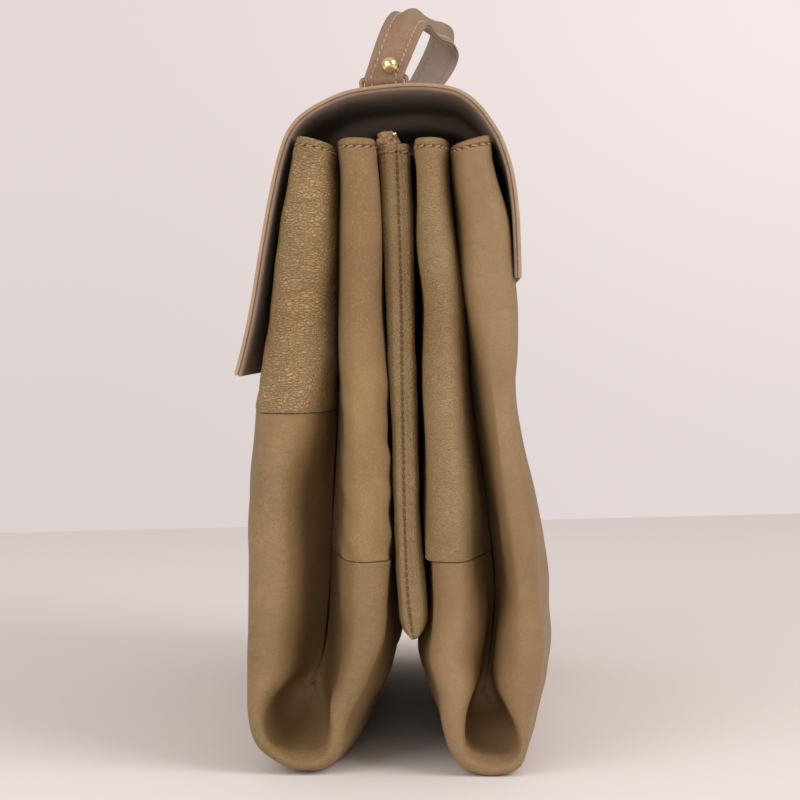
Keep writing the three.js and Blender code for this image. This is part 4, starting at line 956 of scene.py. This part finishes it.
flap_hide = leather("flap_leather_hide", (177, 147, 120), (160, 129, 101), (117, 89, 65),
                    pebble=1500.0, depth=0.07, wrinkles=0.1, stretch=1.0, roughness=0.5)
flap_suede = leather("flap_suede_lining", (163, 137, 114), (142, 118, 97), (106, 84, 66),
                     pebble=2300.0, depth=0.14, wrinkles=0.0, roughness=0.92)
flap_suede.node_tree.nodes["Principled BSDF"].inputs["Sheen Weight"].default_value = 0.2
lining, _ = flap_layer("flap_suede_layer", 0, FLAP_LINING)
dress(lining, flap_suede, "suede_lining", "flap_lining")
CAD_GAP = 0.3 * MM
cover, cover_face = flap_layer("flap_leather_layer", FLAP_LINING + LAYER_GAP,
                               FLAP_LEATHER + CAD_GAP - LAYER_GAP, True)
dress(cover, flap_hide, "flap_leather", "flap_leather")
column = np.abs(flap_across - FLAP_STITCH).argmin()
first = np.abs(flap_down - FLAP_STITCH).argmin()
last = np.abs(flap_walk[-1] - flap_down - FLAP_STITCH).argmin()
level = slice(column, len(flap_across) - column)
upright = slice(first, last + 1)
down_middle = flap_down - flap_walk[-1] / 2
for label, down, across, walk in (
    ("front_edge", last, level, -flap_x), ("back_edge", first, level, -flap_x),
    ("end_a", upright, column, down_middle), ("end_b", upright, len(flap_across) - 1 - column, down_middle),
):
    walk = walk[across if down in (first, last) else down]
    line = (cover_face[down, across], flap_normals[down, across], walk)
    dress(stitch_row(f"flap_{label}_stitches", line, 0.1, sunk=0.3 * MM, thickness=0.62 * MM),
          thread, "flap_leather")


# Handle: a strap of two leathers with padding between two rows of stitches. Each end goes down outside
# its ring, under the ring's upper bar and up inside, where a ball stud holds both thicknesses.
HANDLE = [
    (0, 0, 0, 0), (0, 0.18, 0.12, 2), (0.004, 0.4, 0.28, 9), (0.028, 0.61, 0.42, 13),
    (0.093, 0.78, 0.52, 15), (0.207, 0.88, 0.6, 21), (0.378, 0.89, 0.68, 29), (0.581, 0.93, 0.79, 36),
    (0.768, 1.0, 0.95, 43), (0.898, 1, 1.07, 50), (0.976, 0.86, 1.02, 36), (1.004, 0.63, 0.81, 20),
    (1.008, 0.33, 0.46, 6), (1, 0, 0, 0),
]
HANDLE_RISE = 35.2 * MM
HANDLE_LEAN = 18 * MM
STRAP_WIDTH = 18.5 * MM
STRAP_THICKNESS = 2.4 * MM
STRAP_PADDING = 4.4 * MM
STRAP_TAIL = 12 * MM
LOOP_HEIGHT = 6 * MM
LAYER_STEP = STRAP_THICKNESS + 0.3 * MM
MOUNTS = np.array([[61.5, -7.7, 292.133], [-61.5, 0.9, 292.899]]) * MM
MOUNT_TILT = np.radians(5.092)
LOWER_BAR = 2.9 * MM
UPPER_BAR = 15.506 * MM
RING_BAR = 2.2 * MM
LOOP_RADIUS = 2.753 * MM
up = np.array([0, -np.sin(MOUNT_TILT), np.cos(MOUNT_TILT)])
bars = MOUNTS + up * UPPER_BAR

HANDLE_SAMPLES = 1200
rows = through(HANDLE, np.linspace(0, len(HANDLE) - 1, HANDLE_SAMPLES + 1))
share, rise, lean, roll = rows.T
line = bars[0] + (bars[1] - bars[0]) * share[:, None]
line[:, 0] += (1 - 2 * np.clip(share, 0, 1)) * LAYER_STEP / 2
line[:, 1] += lean * HANDLE_LEAN
line[:, 2] += rise * HANDLE_RISE
STRAIGHT_RISE = 0.4
rolls = np.radians(roll) - MOUNT_TILT * np.maximum(1 - rise / STRAIGHT_RISE, 0)
line_way = unit(np.gradient(line, axis=0))
line_across = np.stack([0 * rolls, np.cos(rolls), -np.sin(rolls)], 1)
line_face = unit(np.cross(line_across, line_way))
line_walk = walk_along(line)
handle_length = line_walk[-1]


def on_handle(length, values):
    """Values of the handle's middle line at lengths from its first ring."""
    return np.stack([np.interp(length, line_walk, values[:, k]) for k in range(3)], -1)


def handle_loop(end):
    """Middle line of the loop at one end, with the strap's directions: up the inside, round under
    the bar on an arc and up the outside, flaring in to the strap's own line."""
    spread_out = LOOP_RADIUS - LAYER_STEP / 2
    tail = np.linspace(STRAP_TAIL, LOOP_HEIGHT, 14)
    tail_off = np.full(14, -LAYER_STEP)
    s = np.linspace(1, 0, 12)[1:]
    flare = spread_out * (1 - s) ** 2 * (1 + 2 * s)
    angles = np.radians(np.linspace(0, -180, 22)[1:-1])
    s_out = np.linspace(0, 1, 12)
    flare_out = spread_out * (1 - s_out) ** 2 * (1 + 2 * s_out)
    height = np.concatenate([tail, s * LOOP_HEIGHT, LOOP_RADIUS * np.sin(angles), s_out * LOOP_HEIGHT])
    round_off = -LAYER_STEP / 2 - LOOP_RADIUS * np.cos(angles)
    off = np.concatenate([tail_off, -LAYER_STEP - flare, round_off, flare_out])
    above = np.maximum(height, 0)
    length = above if end == 0 else handle_length - above
    face = unit(on_handle(length, line_face))
    across = unit(on_handle(length, line_across))
    down = np.cross(face, across)
    middle = on_handle(length, line) + face * off[:, None] + down * np.minimum(height, 0)[:, None]
    return middle, across


near_loop = handle_loop(0)
far_loop = handle_loop(1)
arch = np.linspace(LOOP_HEIGHT, handle_length - LOOP_HEIGHT, 160)[1:-1]
strap_middle = np.concatenate([near_loop[0], on_handle(arch, line), far_loop[0][::-1]])
strap_across = np.concatenate([near_loop[1], unit(on_handle(arch, line_across)), far_loop[1][::-1]])
strap_way = unit(np.gradient(strap_middle, axis=0))
strap_face = unit(np.cross(strap_across, strap_way))
strap_walk = walk_along(strap_middle)
arch_share = np.clip((np.arange(len(strap_middle)) - len(near_loop[0])) / len(arch), 0, 1)
padding = STRAP_PADDING * smooth(0.04, 0.2, np.minimum(arch_share, 1 - arch_share))
OUTER_LAYER = 1.35 * MM
INNER_LAYER = 0.95 * MM
STRAP_STITCH = 5.65 * MM
strap_columns = np.concatenate([[-1], np.linspace(-0.985, 0.985, 33), [1]]) * STRAP_WIDTH / 2


def strap_layer(name, foot, thickness, raised):
    """One leather of the strap. Its face rises between the two stitch rows as a half cosine, dips
    along them, and its edges are round."""
    c = strap_columns
    end = np.minimum(strap_walk, strap_walk[-1] - strap_walk)[:, None]
    edge = np.minimum(end, (STRAP_WIDTH / 2 - np.abs(c))[None, :])
    inset = edge_inset(edge, thickness)
    inside = np.clip(np.abs(c) / STRAP_STITCH, 0, 1)
    pad = raised * padding[:, None] * np.cos(inside * np.pi / 2)[None, :] ** 1.2
    groove = 0.22 * MM * bell(np.abs(c), STRAP_STITCH, 0.6 * MM)[None, :]
    base = strap_middle[:, None] + strap_across[:, None] * c[:, None]
    top = foot + thickness - inset + pad - groove
    low = foot + inset + pad
    if raised == 0:
        low = foot + inset + groove
        top = foot + thickness - inset + 0 * pad
    lengths = joined(strap_walk[:, None], c[None, :] + 1.0)
    over = base + strap_face[:, None] * top[..., None]
    under = base + strap_face[:, None] * low[..., None]
    return shell(name, over, under, lengths), over, under


handle_hide = leather("handle_leather", (153, 127, 105), (139, 110, 87), (98, 73, 54),
                      pebble=1500.0, depth=0.06, wrinkles=0.1, stretch=1.0, roughness=0.5)
handle_lining = leather("handle_lining_leather", (144, 129, 115), (132, 117, 104), (99, 83, 71),
                        pebble=1500.0, depth=0.05, wrinkles=0.06, stretch=1.0, roughness=0.55)
foot = -STRAP_THICKNESS / 2
inner_strap, _, inner_face = strap_layer("handle_inner_leather", foot, INNER_LAYER, 0)
dress(inner_strap, handle_lining, "flap_leather", "handle_strap")
outer_foot = foot + INNER_LAYER + 0.08 * MM
outer_strap, outer_face, _ = strap_layer("handle_outer_leather", outer_foot, OUTER_LAYER, 1)
dress(outer_strap, handle_hide, "flap_leather", "handle_strap")
pale_thread = waxed_thread("pale_thread", (206, 184, 160), (186, 160, 134), (120, 96, 76))
lining_thread = waxed_thread("lining_thread", (150, 130, 112), (134, 114, 96), (100, 82, 66))
STRAP_PITCH = 2.8 * MM
for label, place_across in (("front", -STRAP_STITCH), ("back", STRAP_STITCH)):
    column = np.abs(strap_columns - place_across).argmin()
    rows_in = slice(4, -4)
    walk = strap_walk[rows_in] - strap_walk[-1] / 2
    over = (outer_face[rows_in, column], strap_face[rows_in], walk)
    under = (inner_face[rows_in, column], -strap_face[rows_in], walk)
    dress(stitch_row(f"handle_{label}_stitches", over, 0.15, thickness=0.75 * MM, pitch=STRAP_PITCH),
          pale_thread, "flap_leather")
    dress(stitch_row(f"handle_{label}_inner_stitches", under, 0.1,
                     sunk=0.15 * MM, thickness=0.6 * MM, pitch=STRAP_PITCH),
          lining_thread, "flap_leather")


# Rings: rounded rectangles of antique brass bar, held on the crown by leather tabs.
ring_metal = metal("antique_brass", 300.0, 4.0, (96, 78, 52), (176, 146, 96), 0.28, 0.5)
mount_side = np.array([0, np.cos(MOUNT_TILT), np.sin(MOUNT_TILT)])
RING_INSIDE = STRAP_WIDTH + 0.6 * MM
RING_CORNER = 1.15 * MM
RING_STEPS, RING_SIDES = 96, 24


def ring_path(count):
    """Middle line of a ring bar in its plane: straight sides joined by quarter circles."""
    half_w = (RING_INSIDE + RING_BAR) / 2
    half_h = (UPPER_BAR - LOWER_BAR) / 2
    centres = [(half_w - RING_CORNER, half_h - RING_CORNER), (RING_CORNER - half_w, half_h - RING_CORNER),
               (RING_CORNER - half_w, RING_CORNER - half_h), (half_w - RING_CORNER, RING_CORNER - half_h)]
    angle = np.linspace(0, np.pi / 2, 9)
    turns = [angle + k * np.pi / 2 for k in range(4)]
    corners = [np.array(centre) + RING_CORNER * joined(np.cos(turn), np.sin(turn))
               for centre, turn in zip(centres, turns)]
    closed = np.concatenate([*corners, corners[0][:1]])
    walk = walk_along(closed)
    at = np.linspace(0, walk[-1], count, endpoint=False)
    return np.stack([np.interp(at, walk, closed[:, k]) for k in (0, 1)], 1)


def ring_mesh(name, mount):
    """A bar carried along the ring's path. Its section is a square with round corners, the curve on
    which the fourth powers of both offsets add up to the fourth power of half the bar."""
    flat = ring_path(RING_STEPS)
    ahead = np.roll(flat, -1, 0) - np.roll(flat, 1, 0)
    normal = unit(np.stack([ahead[:, 1], -ahead[:, 0]], 1))
    turn = np.linspace(0, 2 * np.pi, RING_SIDES, endpoint=False)
    bulk = (np.cos(turn) ** 4 + np.sin(turn) ** 4) ** -0.25
    middle = mount + up * (UPPER_BAR + LOWER_BAR) / 2 + flat[:, :1] * mount_side + flat[:, 1:] * up
    outward = normal[:, :1] * mount_side + normal[:, 1:] * up
    off_plane = (np.sin(turn) * bulk)[:, None] * np.array([1.0, 0, 0])
    points = middle[:, None] + RING_BAR / 2 * ((np.cos(turn) * bulk)[:, None] * outward[:, None] + off_plane)
    index = np.arange(RING_STEPS * RING_SIDES).reshape(RING_STEPS, RING_SIDES)
    faces = around(np.concatenate([index, index[:1]]))
    return link(name, mesh_of(name, points.reshape(-1, 3), faces))


TAB_THICKNESS = 1.5 * MM
TAB_LENGTH = 24 * MM
TAB_WIDTH = STRAP_WIDTH - 0.6 * MM


def tab_mesh(name, mount):
    """A strip of leather that lies flat on the crown, rises on a smooth curve, goes round the ring's
    lower bar and comes down the other side: the line is the bar's circle lifted off the crown by
    two S-shaped flanks."""
    radius = RING_BAR / 2 + 0.3 * MM + TAB_THICKNESS / 2
    flat = TAB_THICKNESS / 2 + 0.3 * MM
    along = np.linspace(-TAB_LENGTH / 2, TAB_LENGTH / 2, 81)
    top = LOWER_BAR + radius
    rise_share = smooth(2.6 * radius, 0.55 * radius, np.abs(along))
    height = flat + (top - flat) * rise_share
    on_bar = LOWER_BAR + np.sqrt(np.maximum(radius**2 - along**2, 0))
    height = np.where(np.abs(along) < radius * 0.7, on_bar, height)
    path = np.stack([-along, height], 1)
    path[1:-1] = (path[:-2] + 2 * path[1:-1] + path[2:]) / 4
    way = unit(np.gradient(path, axis=0))
    out = np.stack([-way[:, 1], way[:, 0]], 1) * -1
    c = np.concatenate([[-1], np.linspace(-0.98, 0.98, 17), [1]]) * TAB_WIDTH / 2
    walk = walk_along(path)
    end = np.minimum(walk, walk[-1] - walk)[:, None]
    inset = edge_inset(np.minimum(end, (TAB_WIDTH / 2 - np.abs(c))[None, :]), TAB_THICKNESS)

    def placed(offset):
        x = path[:, :1] + out[:, :1] * offset
        z = path[:, 1:] + out[:, 1:] * offset
        along_x = x[..., None] * np.array([1.0, 0, 0])
        return mount + along_x + c[None, :, None] * mount_side + z[..., None] * up

    lengths = joined(walk[:, None], c[None, :] + 1.0)
    return shell(name, placed(TAB_THICKNESS / 2 - inset), placed(-TAB_THICKNESS / 2 + inset), lengths)


STUD_RADIUS = 4 * MM
STUD_SIDES = 36
STUDS = np.array([[64.016, -6.117, 312.9], [-64.761, 4.7, 312.3]]) * MM
STUD_WAYS = np.array([[1, 0.0003, 0.0089], [-0.9964, -0.0009, -0.0848]])


def stud_mesh(name, place, way):
    """A turned ball on a narrow neck with a flat base behind the strap: its radii spun about its
    own axis."""
    back = -(2 * STRAP_THICKNESS + 0.6 * MM)
    neck, base = 1.5 * MM, 3.2 * MM
    tilt = np.linspace(np.arcsin(neck / STUD_RADIUS), np.pi, 18)
    ball_h = 0.3 * MM + STUD_RADIUS * (np.cos(tilt[0]) - np.cos(tilt))
    bevel = 0.3 * MM
    plate_r = [0.02 * MM, base - bevel, base, base, base - bevel, neck, neck]
    plate_h = [back - MM, back - MM, back - 0.7 * MM, back - bevel, back, back, 0.1 * MM]
    radius = np.concatenate([plate_r, STUD_RADIUS * np.sin(tilt)])
    height = np.concatenate([plate_h, ball_h])
    radius[-1] = 0.02 * MM
    turn = np.linspace(0, 2 * np.pi, STUD_SIDES, endpoint=False)
    way = unit(way)
    one = unit(np.cross(way, [0, 0, 1.0]))
    two = np.cross(way, one)
    points = place + height[:, None, None] * way + radius[:, None, None] * (
        np.cos(turn)[:, None] * one + np.sin(turn)[:, None] * two)
    index = np.arange(points.shape[0] * STUD_SIDES).reshape(-1, STUD_SIDES)
    return link(name, mesh_of(name, points.reshape(-1, 3), around(index)))


for k, label in enumerate("ab"):
    dress(ring_mesh(f"ring_{label}", MOUNTS[k]), ring_metal, "antique_metal", f"handle_ring_{label}")
    dress(tab_mesh(f"crown_tab_{label}", MOUNTS[k]), flap_hide, "flap_leather", f"ring_tab_{label}")
    dress(stud_mesh(f"stud_{label}", STUDS[k], STUD_WAYS[k]), gold, "gold_metal", f"ball_stud_{label}")
